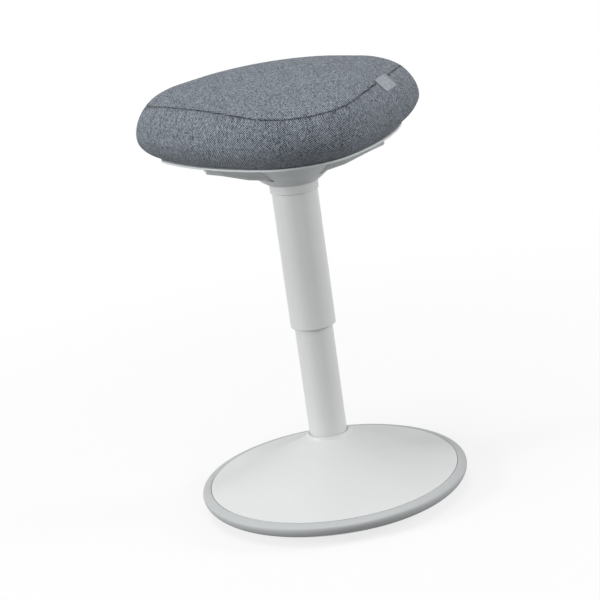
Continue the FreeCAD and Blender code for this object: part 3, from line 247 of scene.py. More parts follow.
@dataclass(frozen=True)
class Effect:
    """A shader node group that is built once and placed with its own values."""

    name: str
    inputs: tuple[tuple[str, str, object], ...]
    outputs: tuple[tuple[str, str], ...]
    wire: Callable[[Wiring, dict], dict] = field(compare=False)

    def tree(self) -> bpy.types.ShaderNodeTree:
        """Return the group, which the first call builds."""
        made = bpy.data.node_groups.get(self.name)
        if made:
            return made
        made = bpy.data.node_groups.new(self.name, "ShaderNodeTree")
        for name, kind, value in self.inputs:
            socket = made.interface.new_socket(name, in_out="INPUT", socket_type=kind)
            if value is not None:
                socket.default_value = value
        for name, kind in self.outputs:
            made.interface.new_socket(name, in_out="OUTPUT", socket_type=kind)
        wiring = Wiring(made)
        entry = wiring.put("NodeGroupInput")
        results = self.wire(wiring, {name: entry.outputs[name] for name, _, _ in self.inputs})
        wiring.put("NodeGroupOutput", results)
        return made

    def place(self, wiring: Wiring, **values: object) -> dict:
        """Place the group in a material.

        Args:
            wiring: Wiring of the material.
            **values: Values or sockets, by input name with _ for a space.

        Returns:
            Output sockets by name.
        """
        node = wiring.put("ShaderNodeGroup", node_tree=self.tree())
        for name, value in values.items():
            wiring.feed(node.inputs[name.replace("_", " ")], value)
        return {name: node.outputs[name] for name, _ in self.outputs}


FLOAT, VECTOR = "NodeSocketFloat", "NodeSocketVector"

YARN_STRETCH = (1.0, 0.85, 1.0)
DASH_LENGTH = (1.0, 2.0, 1.0)
SLUB_STRETCHES = ((0.9, 0.07, 1.0), (0.07, 0.9, 1.0))
SPECK_SHARE, DASH_SHARE, YARN_SHARE, SLUB_SHARE = 0.42, 0.34, 0.10, 0.14
LINE_STRETCH = (0.06, 0.06, 1.0)
FLAT_BEND = 0.505


def wire_weave(wiring: Wiring, given: dict) -> dict:
    """Wire a plain weave of uneven yarns.

    Args:
        wiring: Wiring of the group.
        given: Sockets of Vector, Pitch and Waver.

    Returns:
        Sockets of Height, Over and Fleck.
    """
    count = wiring.maths("DIVIDE", 1.0, given["Pitch"])
    drawn = wiring.vector("MULTIPLY", {0: given["Vector"], 1: YARN_STRETCH})
    across = wiring.vector("SCALE", {"Vector": drawn, "Scale": count})
    drift = wiring.put("ShaderNodeTexNoise", {"Vector": across, "Scale": 0.11, "Detail": 1.0})
    shift = wiring.vector("SUBTRACT", {0: drift.outputs["Color"], 1: (0.5, 0.5, 0.5)})
    pushed = wiring.vector("SCALE", {"Vector": shift, "Scale": given["Waver"]})
    laid = wiring.vector("ADD", {0: across, 1: pushed})
    parts = wiring.put("ShaderNodeSeparateXYZ", {"Vector": laid})
    warp, weft = parts.outputs["X"], parts.outputs["Y"]
    warp_number, weft_number = wiring.maths("FLOOR", warp), wiring.maths("FLOOR", weft)
    over = wiring.maths("FLOORED_MODULO", wiring.maths("ADD", warp_number, weft_number), 2.0)
    ridges = [wiring.maths("ABSOLUTE", wiring.maths("SINE", wiring.maths("MULTIPLY", way, math.pi)))
              for way in (warp, weft)]
    crowns = [wiring.maths("MULTIPLY", ridges[side],
                           wiring.maths("MULTIPLY_ADD", ridges[1 - side], 0.5, 0.5))
              for side in (0, 1)]
    shown = wiring.weighed(over, crowns[0], wiring.maths("SUBTRACT", 1.0, over), crowns[1])
    crossing = wiring.put("ShaderNodeCombineXYZ",
                          {"X": warp_number, "Y": weft_number}).outputs["Vector"]
    specks = wiring.speckle("3D", {"Vector": crossing})
    pairs = wiring.vector("FLOOR", {0: wiring.vector("DIVIDE", {0: crossing, 1: DASH_LENGTH})})
    dashes = wiring.speckle("3D", {"Vector": pairs})
    yarns = [wiring.speckle("1D", {"W": number}) for number in (warp_number, weft_number)]
    yarn = wiring.maths("MULTIPLY", wiring.maths("ADD", yarns[0], yarns[1]), 0.5)
    slubs = [wiring.noise(wiring.vector("MULTIPLY", {0: laid, 1: stretch}), 1.0, 1.0)
             for stretch in SLUB_STRETCHES]
    slub = wiring.maths("MULTIPLY", wiring.maths("ADD", slubs[0], slubs[1]), 0.5)
    fleck = wiring.maths("ADD", wiring.weighed(specks, SPECK_SHARE, dashes, DASH_SHARE),
                         wiring.weighed(yarn, YARN_SHARE, slub, SLUB_SHARE))
    return {"Height": shown, "Over": over, "Fleck": fleck}


def wire_grain(wiring: Wiring, given: dict) -> dict:
    """Wire the fine texture of moulded plastic or powder paint.

    Args:
        wiring: Wiring of the group.
        given: Sockets of Vector and Size.

    Returns:
        Sockets of Height and Cloud.
    """
    count = wiring.maths("DIVIDE", 1.0, given["Size"])
    pits = wiring.put("ShaderNodeTexVoronoi", {"Vector": given["Vector"], "Scale": count},
                      feature="SMOOTH_F1").outputs["Distance"]
    swell = wiring.noise(given["Vector"], wiring.maths("MULTIPLY", count, 0.35), 3.0, 0.6)
    return {"Height": wiring.weighed(pits, 0.6, swell, 0.4),
            "Cloud": wiring.noise(given["Vector"], 9.0, 3.0, 0.55)}


def wire_worn_edges(wiring: Wiring, given: dict) -> dict:
    """Wire a mask of the convex edges, broken up by noise.

    Args:
        wiring: Wiring of the group.
        given: Sockets of Vector and Reach.

    Returns:
        Socket of Mask.
    """
    bend = wiring.put("ShaderNodeNewGeometry").outputs["Pointiness"]
    patches = wiring.noise(given["Vector"], 120.0, 3.0, 0.6)
    edge = wiring.span(bend, FLAT_BEND, wiring.maths("ADD", FLAT_BEND, given["Reach"]))
    return {"Mask": wiring.maths("MULTIPLY", edge, wiring.span(patches, 0.35, 0.75), clamp=True)}


def wire_dust(wiring: Wiring, given: dict) -> dict:
    """Wire a mask of dust on what faces up, and in what is hollow.

    Args:
        wiring: Wiring of the group.
        given: Sockets of Vector and Amount.

    Returns:
        Socket of Mask.
    """
    facing = wiring.put("ShaderNodeNewGeometry")
    up = wiring.put("ShaderNodeSeparateXYZ", {"Vector": facing.outputs["Normal"]}).outputs["Z"]
    lying = wiring.span(up, 0.25, 1.0, 0.15, 1.0)
    hollow = wiring.span(facing.outputs["Pointiness"], 0.5, 0.44)
    drifts = wiring.noise(given["Vector"], 14.0, 4.0, 0.6)
    both = wiring.maths("MAXIMUM", wiring.maths("MULTIPLY", lying, wiring.span(drifts, 0.3, 0.8)),
                        wiring.maths("MULTIPLY", hollow, 0.8))
    return {"Mask": wiring.maths("MULTIPLY", both, given["Amount"], clamp=True)}


def wire_brushing(wiring: Wiring, given: dict) -> dict:
    """Wire fine turned or drawn lines in metal.

    Args:
        wiring: Wiring of the group.
        given: Sockets of Vector and Lines.

    Returns:
        Sockets of Height and Streak.
    """
    drawn = wiring.vector("MULTIPLY", {0: given["Vector"], 1: LINE_STRETCH})
    lines = wiring.noise(drawn, given["Lines"], 4.0, 0.65)
    blotches = wiring.noise(given["Vector"], 60.0, 2.0)
    return {"Height": lines, "Streak": wiring.weighed(lines, 0.7, blotches, 0.3)}


WEAVE = Effect("plain weave",
               (("Vector", VECTOR, None), ("Pitch", FLOAT, 0.0012), ("Waver", FLOAT, 2.0)),
               (("Height", FLOAT), ("Over", FLOAT), ("Fleck", FLOAT)), wire_weave)
GRAIN = Effect("fine grain", (("Vector", VECTOR, None), ("Size", FLOAT, 0.0006)),
               (("Height", FLOAT), ("Cloud", FLOAT)), wire_grain)
WORN_EDGES = Effect("worn edges", (("Vector", VECTOR, None), ("Reach", FLOAT, 0.06)),
                    (("Mask", FLOAT),), wire_worn_edges)
DUST = Effect("dust", (("Vector", VECTOR, None), ("Amount", FLOAT, 0.2)),
              (("Mask", FLOAT),), wire_dust)
BRUSHING = Effect("brushing", (("Vector", VECTOR, None), ("Lines", FLOAT, 900.0)),
                  (("Height", FLOAT), ("Streak", FLOAT)), wire_brushing)


# Finishes

DUST_COLOUR = tone(196, 192, 184)


@dataclass(frozen=True)
class Finish:
    """A material of the stool."""

    name: str
    colour: Colour
    roughness: float

    def material(self) -> bpy.types.Material:
        """Return the material, which the first call builds."""
        made = bpy.data.materials.get(self.name)
        if made:
            return made
        made = bpy.data.materials.new(self.name)
        made.use_nodes = True
        made.node_tree.nodes.clear()
        made.diffuse_color = self.colour
        wiring = Wiring(made.node_tree)
        shader = wiring.put("ShaderNodeBsdfPrincipled")
        wiring.put("ShaderNodeOutputMaterial", {"Surface": shader.outputs["BSDF"]})
        self.wire(wiring, shader)
        return made

    def wire(self, wiring: Wiring, shader: bpy.types.Node) -> None:
        """Wire the finish into its shader.

        Args:
            wiring: Wiring of the material.
            shader: Its Principled BSDF.
        """
        raise NotImplementedError

    @staticmethod
    def object_place(wiring: Wiring) -> bpy.types.NodeSocket:
        """Return the place on the piece, which moves with it."""
        return wiring.put("ShaderNodeTexCoord").outputs["Object"]

    @staticmethod
    def relief(wiring: Wiring, shader: bpy.types.Node, height: bpy.types.NodeSocket,
               depth: float, strength: float = 1.0) -> None:
        """Feed a height to the shader's normal.

        Args:
            wiring: Wiring of the material.
            shader: Its Principled BSDF.
            height: Height, 0 to 1.
            depth: What a height of 1 stands for, in metres.
            strength: Strength of the bump.
        """
        bump = wiring.put("ShaderNodeBump",
                          {"Height": height, "Distance": depth, "Strength": strength})
        wiring.feed(shader.inputs["Normal"], bump.outputs["Normal"])


@dataclass(frozen=True)
class Woven(Finish):
    """Two-tone woven cloth, laid along the piece's own cloth map."""

    dark: Colour
    # Painted shade: the near-black line in the cushion's seam groove and along the ribbon's edges.
    seam: Colour
    pitch: float
    waver: float
    relief_depth: float
    sheen: float
    contrast: float
    fleck_gain: float = 1.75
    dark_at: float = 0.7
    light_past: float = 1.05
    lint: float = 0.04
    lint_lift: float = 1.25
    rub: float = 0.16
    rub_reach: float = 0.12
    cloth_map: str = "cloth"
    line_shade_mark: str = "seam"

    def wire(self, wiring: Wiring, shader: bpy.types.Node) -> None:
        """Wire the cloth into its shader.

        Args:
            wiring: Wiring of the material.
            shader: Its Principled BSDF.
        """
        laid = wiring.put("ShaderNodeUVMap", uv_map=self.cloth_map).outputs["UV"]
        place = self.object_place(wiring)
        weave = WEAVE.place(wiring, Vector=laid, Pitch=self.pitch, Waver=self.waver)
        yarn = wiring.weighed(weave["Over"], self.contrast, weave["Fleck"], self.fleck_gain)
        share = wiring.span(yarn, self.dark_at, self.light_past + self.contrast)
        cloth = wiring.mix(share, self.dark, self.colour)
        # Painted shade: the cloth is darkened in the weave's valleys between the yarns.
        valley_shade = wiring.span(weave["Height"], 0.0, 0.6, 0.45, 1.0)
        grey = wiring.put("ShaderNodeCombineColor", {0: valley_shade, 1: valley_shade, 2: valley_shade})
        cloth = wiring.mix(1.0, cloth, grey.outputs["Color"], "MULTIPLY")
        lint = DUST.place(wiring, Vector=place, Amount=self.lint)
        cloth = wiring.mix(lint["Mask"], cloth, shade(self.colour, self.lint_lift))
        rubbed = WORN_EDGES.place(wiring, Vector=place, Reach=self.rub_reach)
        cloth = wiring.mix(wiring.maths("MULTIPLY", rubbed["Mask"], self.rub), cloth, self.colour)
        # Painted shade: where the mark lies, the cloth takes the seam colour, in the seam's groove
        # and at the ribbon's edges.
        near = wiring.put("ShaderNodeAttribute", attribute_name=self.line_shade_mark,
                          attribute_type="GEOMETRY").outputs["Fac"]
        cloth = wiring.mix(near, cloth, self.seam)
        wiring.feed(shader.inputs["Base Color"], cloth)
        rough = wiring.span(weave["Fleck"], 0.2, 0.8, self.roughness, self.roughness - 0.12)
        wiring.feed(shader.inputs["Roughness"], rough)
        shader.inputs["Sheen Weight"].default_value = self.sheen
        shader.inputs["Sheen Roughness"].default_value = 0.45
        shader.inputs["Specular IOR Level"].default_value = 0.25
        self.relief(wiring, shader, weave["Height"], self.relief_depth)


@dataclass(frozen=True)
class Moulded(Finish):
    """Moulded plastic or rubber with a fine grain, or powder paint."""

    grain: float
    relief_depth: float
    wear: float = 0.25
    wear_lift: float = 1.12
    dust: float = 0.12
    coat: float = 0.0
    cloudy: float = 0.05

    def wire(self, wiring: Wiring, shader: bpy.types.Node) -> None:
        """Wire the plastic, rubber or paint into its shader.

        Args:
            wiring: Wiring of the material.
            shader: Its Principled BSDF.
        """
        place = self.object_place(wiring)
        grain = GRAIN.place(wiring, Vector=place, Size=self.grain)
        surface = wiring.mix(wiring.span(grain["Cloud"], 0.3, 0.7),
                             shade(self.colour, 1 - self.cloudy),
                             shade(self.colour, 1 + self.cloudy))
        worn = WORN_EDGES.place(wiring, Vector=place, Reach=0.07)
        surface = wiring.mix(wiring.maths("MULTIPLY", worn["Mask"], self.wear), surface,
                             shade(self.colour, self.wear_lift))
        dusty = DUST.place(wiring, Vector=place, Amount=self.dust)
        surface = wiring.mix(dusty["Mask"], surface, DUST_COLOUR)
        wiring.feed(shader.inputs["Base Color"], surface)
        rough = wiring.span(grain["Cloud"], 0.25, 0.75, self.roughness - 0.05,
                            self.roughness + 0.06)
        rough = wiring.maths("ADD", rough, wiring.maths("MULTIPLY", dusty["Mask"], 0.4), clamp=True)
        rough = wiring.maths("SUBTRACT", rough, wiring.maths("MULTIPLY", worn["Mask"], 0.1),
                             clamp=True)
        wiring.feed(shader.inputs["Roughness"], rough)
        shader.inputs["Coat Weight"].default_value = self.coat
        shader.inputs["Coat Roughness"].default_value = 0.3
        self.relief(wiring, shader, grain["Height"], self.relief_depth)


@dataclass(frozen=True)
class Metal(Finish):
    """Steel or aluminium, turned, drawn or plated."""

    lines: float
    tint: Colour
    relief_depth: float = 0.00001

    def wire(self, wiring: Wiring, shader: bpy.types.Node) -> None:
        """Wire the metal into its shader.

        Args:
            wiring: Wiring of the material.
            shader: Its Principled BSDF.
        """
        place = self.object_place(wiring)
        brushed = BRUSHING.place(wiring, Vector=place, Lines=self.lines)
        surface = wiring.mix(wiring.span(brushed["Streak"], 0.3, 0.7), self.colour, self.tint)
        worn = WORN_EDGES.place(wiring, Vector=place, Reach=0.05)
        surface = wiring.mix(wiring.maths("MULTIPLY", worn["Mask"], 0.4), surface,
                             shade(self.colour, 1.25))
        wiring.feed(shader.inputs["Base Color"], surface)
        shader.inputs["Metallic"].default_value = 1.0
        wiring.feed(shader.inputs["Roughness"],
                    wiring.span(brushed["Streak"], 0.25, 0.75, self.roughness - 0.07,
                                self.roughness + 0.1))
        self.relief(wiring, shader, brushed["Height"], self.relief_depth)


@dataclass(frozen=True)
class Plywood(Finish):
    """Birch plywood with its grain along X and its plies on the edge."""

    dark: Colour
    ply: float = 0.0014

    def wire(self, wiring: Wiring, shader: bpy.types.Node) -> None:
        """Wire the wood into its shader.

        Args:
            wiring: Wiring of the material.
            shader: Its Principled BSDF.
        """
        place = self.object_place(wiring)
        drawn = wiring.vector("MULTIPLY", {0: place, 1: (0.12, 1.0, 1.0)})
        rings = wiring.noise(drawn, 70.0, 5.0, 0.6)
        surface = wiring.mix(wiring.span(rings, 0.35, 0.7), self.dark, self.colour)
        height = wiring.put("ShaderNodeSeparateXYZ", {"Vector": place}).outputs["Z"]
        layer = wiring.maths("FLOORED_MODULO",
                             wiring.maths("FLOOR", wiring.maths("DIVIDE", height, self.ply)), 2.0)
        flat = wiring.put("ShaderNodeSeparateXYZ",
                          {"Vector": wiring.put("ShaderNodeNewGeometry").outputs["Normal"]})
        edge = wiring.span(wiring.maths("ABSOLUTE", flat.outputs["Z"]), 0.7, 0.3)
        surface = wiring.mix(wiring.maths("MULTIPLY", wiring.maths("MULTIPLY", layer, edge), 0.5),
                             surface, self.dark)
        wiring.feed(shader.inputs["Base Color"], surface)
        wiring.feed(shader.inputs["Roughness"],
                    wiring.span(rings, 0.3, 0.7, self.roughness - 0.08, self.roughness + 0.08))
        self.relief(wiring, shader, rings, 0.00008)


# seam is painted shade: the dark line of the cushion's seam groove and of the ribbon's edges.
WOVEN_COVER = Woven("woven cover", tone(180, 190, 202), 0.86, dark=tone(14, 18, 26),
                    seam=tone(10, 12, 16), pitch=0.00142, waver=0.9, relief_depth=0.0005,
                    sheen=0.08, contrast=0.95)
TAB_RIBBON = Woven("tab ribbon", tone(188, 194, 200), 0.7, dark=tone(140, 147, 156),
                   seam=tone(120, 126, 134), pitch=0.0006, waver=0.4, relief_depth=0.00012,
                   sheen=0.1, contrast=0.3)
SEAT_FOAM = Moulded("seat foam", tone(222, 208, 168), 0.95, grain=0.0016, relief_depth=0.0006,
                    wear=0.0, dust=0.0, cloudy=0.08)
GREY_PLASTIC = Moulded("grey plastic", tone(210, 214, 215), 0.46, grain=0.0006,
                       relief_depth=0.00002, dust=0.05, cloudy=0.012)
DARK_PLASTIC = Moulded("dark plastic", tone(52, 54, 57), 0.5, grain=0.0008, relief_depth=0.00004,
                       wear=0.35, wear_lift=1.8)
WHITE_PLASTIC = Moulded("white plastic", tone(228, 226, 218), 0.4, grain=0.0006,
                        relief_depth=0.00002)
PALE_PAINT = Moulded("pale paint", tone(222, 224, 224), 0.4, grain=0.00045,
                     relief_depth=0.000012, wear=0.15, wear_lift=1.05, dust=0.03, coat=0.15,
                     cloudy=0.008)
PALE_PLASTIC = Moulded("pale plastic", tone(221, 223, 223), 0.44, grain=0.0006,
                       relief_depth=0.000014, wear=0.12, wear_lift=1.05, dust=0.03,
                       cloudy=0.008)
BLACK_PAINT = Moulded("black paint", tone(34, 35, 37), 0.42, grain=0.0005, relief_depth=0.00004,
                      wear=0.5, wear_lift=3.0, dust=0.08)
RING_RUBBER = Moulded("ring rubber", tone(189, 192, 193), 0.6, grain=0.0007,
                      relief_depth=0.00005, wear=0.12, wear_lift=0.9, dust=0.08, cloudy=0.015)
BLACK_RUBBER = Moulded("black rubber", tone(30, 31, 33), 0.72, grain=0.0009,
                       relief_depth=0.00008, wear=0.2, wear_lift=2.2, dust=0.15)
BALLAST_STEEL = Metal("ballast steel", tone(112, 113, 116), 0.55, lines=300.0,
                      tint=tone(84, 84, 86), relief_depth=0.00008)
ZINC_STEEL = Metal("zinc steel", tone(196, 200, 205), 0.34, lines=900.0, tint=tone(170, 176, 180))
BRIGHT_STEEL = Metal("bright steel", tone(214, 215, 217), 0.18, lines=1500.0,
                     tint=tone(198, 200, 203), relief_depth=0.000004)
ALLOY = Metal("alloy", tone(202, 204, 206), 0.4, lines=800.0, tint=tone(184, 186, 189))
BIRCH = Plywood("birch plywood", tone(214, 186, 142), 0.62, dark=tone(172, 136, 92))

FINISHES: dict[Slot, Finish] = {
    Slot.WOVEN_COVER: WOVEN_COVER, Slot.TAB_CLOTH: TAB_RIBBON, Slot.SEAT_FOAM: SEAT_FOAM,
    Slot.PLYWOOD: BIRCH, Slot.GREY_PLASTIC: GREY_PLASTIC, Slot.DARK_PLASTIC: DARK_PLASTIC,
    Slot.WHITE_PLASTIC: WHITE_PLASTIC, Slot.PALE_PAINT: PALE_PAINT,
    Slot.PALE_PLASTIC: PALE_PLASTIC, Slot.BLACK_PAINT: BLACK_PAINT, Slot.RING_RUBBER: RING_RUBBER,
    Slot.BLACK_RUBBER: BLACK_RUBBER, Slot.BALLAST_STEEL: BALLAST_STEEL,
    Slot.ZINC_STEEL: ZINC_STEEL, Slot.BRIGHT_STEEL: BRIGHT_STEEL, Slot.ALLOY: ALLOY,
}


# Meshes

@dataclass
class Mesher:
    """Collects the points, faces and cloth map of one mesh, in millimetres."""

    points: list[Point] = field(default_factory=list)
    faces: list[Face] = field(default_factory=list)
    laid: list[tuple[tuple[float, float], ...]] = field(default_factory=list)

    def point(self, place: Iterable[float]) -> int:
        """Add a point and return its number."""
        self.points.append(tuple(place))
        return len(self.points) - 1

    def face(self, corners: Face, laid: tuple[tuple[float, float], ...] = ()) -> None:
        """Add a face.

        Args:
            corners: Numbers of its points.
            laid: Where each corner lies on the flat cloth, in millimetres.
        """
        self.faces.append(corners)
        self.laid.append(laid or tuple((0.0, 0.0) for _ in corners))

    def flat_face(self, corners: Face) -> None:
        """Add a face that lies on the flat cloth as it is seen from above."""
        self.face(corners, tuple(self.points[number][:2] for number in corners))

    def ring_faces(self, rows: list[list[int]], closed: bool = True) -> None:
        """Join rows of points, one row to the next, round a full turn.

        Args:
            rows: Rows of point numbers, all of one length.
            closed: Whether the last row joins the first.
        """
        count = len(rows[0])
        pairs = list(zip(rows, rows[1:])) + ([(rows[-1], rows[0])] if closed else [])
        for lower, upper in pairs:
            for k in range(count):
                after = (k + 1) % count
                self.face((lower[k], lower[after], upper[after], upper[k]))

    def piece(self, name: str, cloth_map: str = "") -> bpy.types.Object:
        """Make the object.

        Args:
            name: Name of the piece.
            cloth_map: Name of its cloth map, or nothing.

        Returns:
            The object, shaded smooth and linked to the scene.
        """
        mesh = bpy.data.meshes.new(name)
        mesh.from_pydata([[part * MM for part in place] for place in self.points], [], self.faces)
        mesh.validate()
        if cloth_map:
            layer = mesh.uv_layers.new(name=cloth_map)
            flat = [corner for face in self.laid for corner in face]
            for loop, (along, up) in zip(layer.data, flat):
                loop.uv = (along * MM, up * MM)
        mesh.shade_smooth()
        made = bpy.data.objects.new(name, mesh)
        bpy.context.scene.collection.objects.link(made)
        return made


def settle(made: bpy.types.Object, body: Body, slot: Slot, *nodes: str) -> bpy.types.Object:
    """Give a piece its body, its finish and the CAD nodes that it stands for.

    Args:
        made: The piece.
        body: Body that it rides on.
        slot: Material slot that it takes its finish from.
        *nodes: CAD nodes that it replaces.

    Returns:
        The piece.
    """
    made.data.materials.clear()
    made.data.materials.append(FINISHES[slot].material())
    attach(made, body.value)
    if nodes:
        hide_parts(*nodes)
    log.info("%s rides on %s", made.name, body.value)
    return made


def arc_through(first: tuple[float, float], last: tuple[float, float], radius: float,
                count: int) -> list[tuple[float, float]]:
    """Return an arc between two points that bulges to the right of the way.

    Args:
        first: First point.
        last: Last point.
        radius: Radius of the arc.
        count: Number of points.

    Returns:
        The points, both ends included.
    """
    start, end = Vector(first), Vector(last)
    way = end - start
    side = Vector((-way.y, way.x)).normalized()
    centre = (start + end) / 2 + side * math.sqrt(radius ** 2 - (way.length / 2) ** 2)
    from_start, from_end = start - centre, end - centre
    turn = from_start.angle_signed(from_end)
    places = []
    for k in range(count):
        spun = from_start.copy()
        spun.rotate(Matrix.Rotation(-turn * k / (count - 1), 2))
        places.append(tuple(centre + spun))
    return places


def on_circle(radius: float, count: int) -> tuple[tuple[float, float], ...]:
    """Return evenly spaced places round the axis."""
    turns = (FULL_TURN * k / count for k in range(count))
    return tuple((radius * math.cos(turn), radius * math.sin(turn)) for turn in turns)


# Seat

@dataclass(frozen=True)
class Arc:
    """One arc of the seat's outline, by the direction of its outward normal."""

    centre: Vector
    radius: float
    start: float
    end: float


@dataclass(frozen=True)
class SeatOutline:
    """Rounded triangle of the seat, its nose to -Y, in millimetres."""

    nose_y: float = -67.0
    nose_radius: float = 110.0
    corner_x: float = 118.3
    corner_y: float = 44.7
    corner_radius: float = 67.5
    flank_radius: float = 400.0
    back_radius: float = 670.0

    @cached_property
    def arcs(self) -> tuple[Arc, ...]:
        """Arcs of the right half, from the nose to the middle of the back."""
        nose, corner = Vector((0.0, self.nose_y)), Vector((self.corner_x, self.corner_y))
        way = corner - nose
        nose_gap = self.flank_radius - self.nose_radius
        corner_gap = self.flank_radius - self.corner_radius
        along = (nose_gap ** 2 - corner_gap ** 2 + way.length ** 2) / (2 * way.length)
        aside = math.sqrt(nose_gap ** 2 - along ** 2)
        ahead = way.normalized()
        flank = nose + ahead * along + Vector((-ahead.y, ahead.x)) * aside
        drop = math.sqrt((self.back_radius - self.corner_radius) ** 2 - corner.x ** 2)
        back = Vector((0.0, corner.y - drop))
        turns = [-math.pi / 2]
        for start, end in ((nose, flank), (corner, flank), (corner, back)):
            turns.append(math.atan2(start.y - end.y, start.x - end.x))
        turns.append(math.pi / 2)
        centres = (nose, flank, corner, back)
        radii = (self.nose_radius, self.flank_radius, self.corner_radius, self.back_radius)
        return tuple(Arc(*parts) for parts in zip(centres, radii, turns, turns[1:]))

    @cached_property
    def lengths(self) -> list[float]:
        """Lengths of those arcs."""
        return [a.radius * (a.end - a.start) for a in self.arcs]

    def spot(self, heading: float, inset: float) -> tuple[Vector, Vector]:
        """Find a point of the outline drawn in by an inset.

        Args:
            heading: Direction of the outward normal, -90 to 270 degrees, in radians.
            inset: How far inside the outline.

        Returns:
            The point and the outward normal.
        """
        mirrored = heading > math.pi / 2
        turn = math.pi - heading if mirrored else heading
        part = next((a for a in self.arcs if turn <= a.end), self.arcs[-1])
        way = Vector((math.cos(turn), math.sin(turn)))
        place = part.centre + way * (part.radius - inset)
        if mirrored:
            place.x, way.x = -place.x, -way.x
        return place, way

    def headings(self, count: int) -> list[tuple[float, float]]:
        """Space headings evenly along the outline, from the nose round to the nose.

        Args:
            count: Number of headings, an even one.

        Returns:
            Each heading with its distance along the outline.
        """
        half = sum(self.lengths)
        found = []
        for k in range(count):
            gone = 2 * half * k / count
            left = gone if gone <= half else 2 * half - gone
            for part, length in zip(self.arcs, self.lengths):
                if left <= length or part is self.arcs[-1]:
                    turn = part.start + left / part.radius
                    break
                left -= length
            found.append((turn if gone <= half else math.pi - turn, gone))
        return found

    @property
    def perimeter(self) -> float:
        """Length of the outline."""
        return 2 * sum(self.lengths)


@dataclass(frozen=True)
class CushionForm:
    """Crown and drawn-in sides of the cushion, in millimetres above the floor."""

    outline: SeatOutline = SeatOutline()
    foot: float = 477.0
    waist: float = 508.0
    crown_top: float = 576.2
    side_draw: float = 41.0
    side_rise: float = 60.0
    tuck_draw: float = 87.0
    tuck_rise: float = 41.0
    crown_radius: float = 745.0
    cross_radius: float = 558.0
    crown_y: float = 68.0
    flank_tuck: float = 6.5
    flank_turn: float = -25.0
    flank_spread: float = 32.0
    tuck_full: float = 22.0
    tuck_left: float = 0.4
    foot_ease: float = 8.0
    seam_drop: float = 1.2
    seam_drop_turn: float = -8.0
    seam_drop_spread: float = 40.0
    fullness: float = 1.2
    corner_fullness: float = 2.0
    corner_turn: float = 40.0
    corner_spread: float = 70.0
    full_at: float = 18.0

    def inset(self, height: float, heading: float = -math.pi / 2) -> float:
        """Return how far the side is drawn in.

        Args:
            height: Height above the floor.
            heading: Direction of the side's normal; the flanks are drawn in more below.

        Returns:
            The inset.
        """
        if height >= self.waist:
            return self.side_draw * ((height - self.waist) / self.side_rise) ** 2
        drop = min(1.0, (self.waist - height) / self.tuck_rise)
        share = min(1.0, (self.waist - height) / self.tuck_full)
        tuck = self.flank_tuck * self.swell(heading, self.flank_turn, self.flank_spread) * share
        foot = min(1.0, (height - self.foot) / self.foot_ease)
        return (self.tuck_draw * (1 - math.sqrt(1 - drop * drop))
                + tuck * (self.tuck_left + (1 - self.tuck_left) * foot))

    @staticmethod
    def swell(heading: float, turn: float, spread: float) -> float:
        """Return 1 at a direction, on both sides of the seat, down to 0 a spread away.

        Args:
            heading: Direction of the side's normal.
            turn: Direction of the middle, in degrees.
            spread: Width on either side, in degrees.

        Returns:
            The share.
        """
        facing = math.degrees(math.pi - heading if heading > math.pi / 2 else heading)
        return math.cos(min(1.0, abs(facing - turn) / spread) * math.pi / 2) ** 2

    def drop(self, heading: float) -> float:
        """Return how far the seam is pulled down at a direction."""
        return self.seam_drop * self.swell(heading, self.seam_drop_turn, self.seam_drop_spread)

    def full(self, heading: float, gap: float) -> float:
        """Return how much fuller the top panel is than its crown.

        Args:
            heading: Direction of the side's normal.
            gap: Distance from the seam.

        Returns:
            The rise.
        """
        most = self.fullness + self.corner_fullness * self.swell(heading, self.corner_turn,
                                                                 self.corner_spread)
        return most * gap / self.full_at * math.exp(1 - gap / self.full_at)

    def crown(self, x: float, y: float) -> float:
        """Return the height of the crown over a point of the plan."""
        across = self.crown_radius - self.cross_radius + math.sqrt(self.cross_radius ** 2 - x * x)
        return (self.crown_top - self.crown_radius
                + math.sqrt(across ** 2 - (y - self.crown_y) ** 2))

    def seam(self, heading: float) -> Vector:
        """Find where the crown meets the side.

        Args:
            heading: Direction of the side's normal.

        Returns:
            The point.
        """
        low, high = self.waist, self.crown_top
        for _ in range(40):
            middle = (low + high) / 2
            place, _ = self.outline.spot(heading, self.inset(middle, heading))
            if self.crown(place.x, place.y) > middle:
                low = middle
            else:
                high = middle
        place, _ = self.outline.spot(heading, self.inset(low, heading))
        return Vector((place.x, place.y, low))

    def side_path(self, heading: float, steps: int = 60) -> list[Vector]:
        """Return closely spaced points down the side, from the seam to the foot."""
        top = self.seam(heading).z - self.drop(heading)
        path = []
        for k in range(steps + 1):
            height = self.foot + (top - self.foot) * math.cos(math.pi / 2 * k / steps)
            place, _ = self.outline.spot(heading, self.inset(height, heading))
            path.append(Vector((place.x, place.y, height)))
        return path


def along_path(path: list[Vector], distance: float) -> Vector:
    """Return the point at a distance along a path.

    Args:
        path: Points of the path.
        distance: Distance from its start.

    Returns:
        The point.
    """
    left = distance
    for start, end in zip(path, path[1:]):
        step = (end - start).length
        if left <= step:
            return start.lerp(end, left / step if step else 0.0)
        left -= step
    return path[-1].copy()


def path_length(path: list[Vector]) -> float:
    """Return the length of a path."""
    return sum((end - start).length for start, end in zip(path, path[1:]))


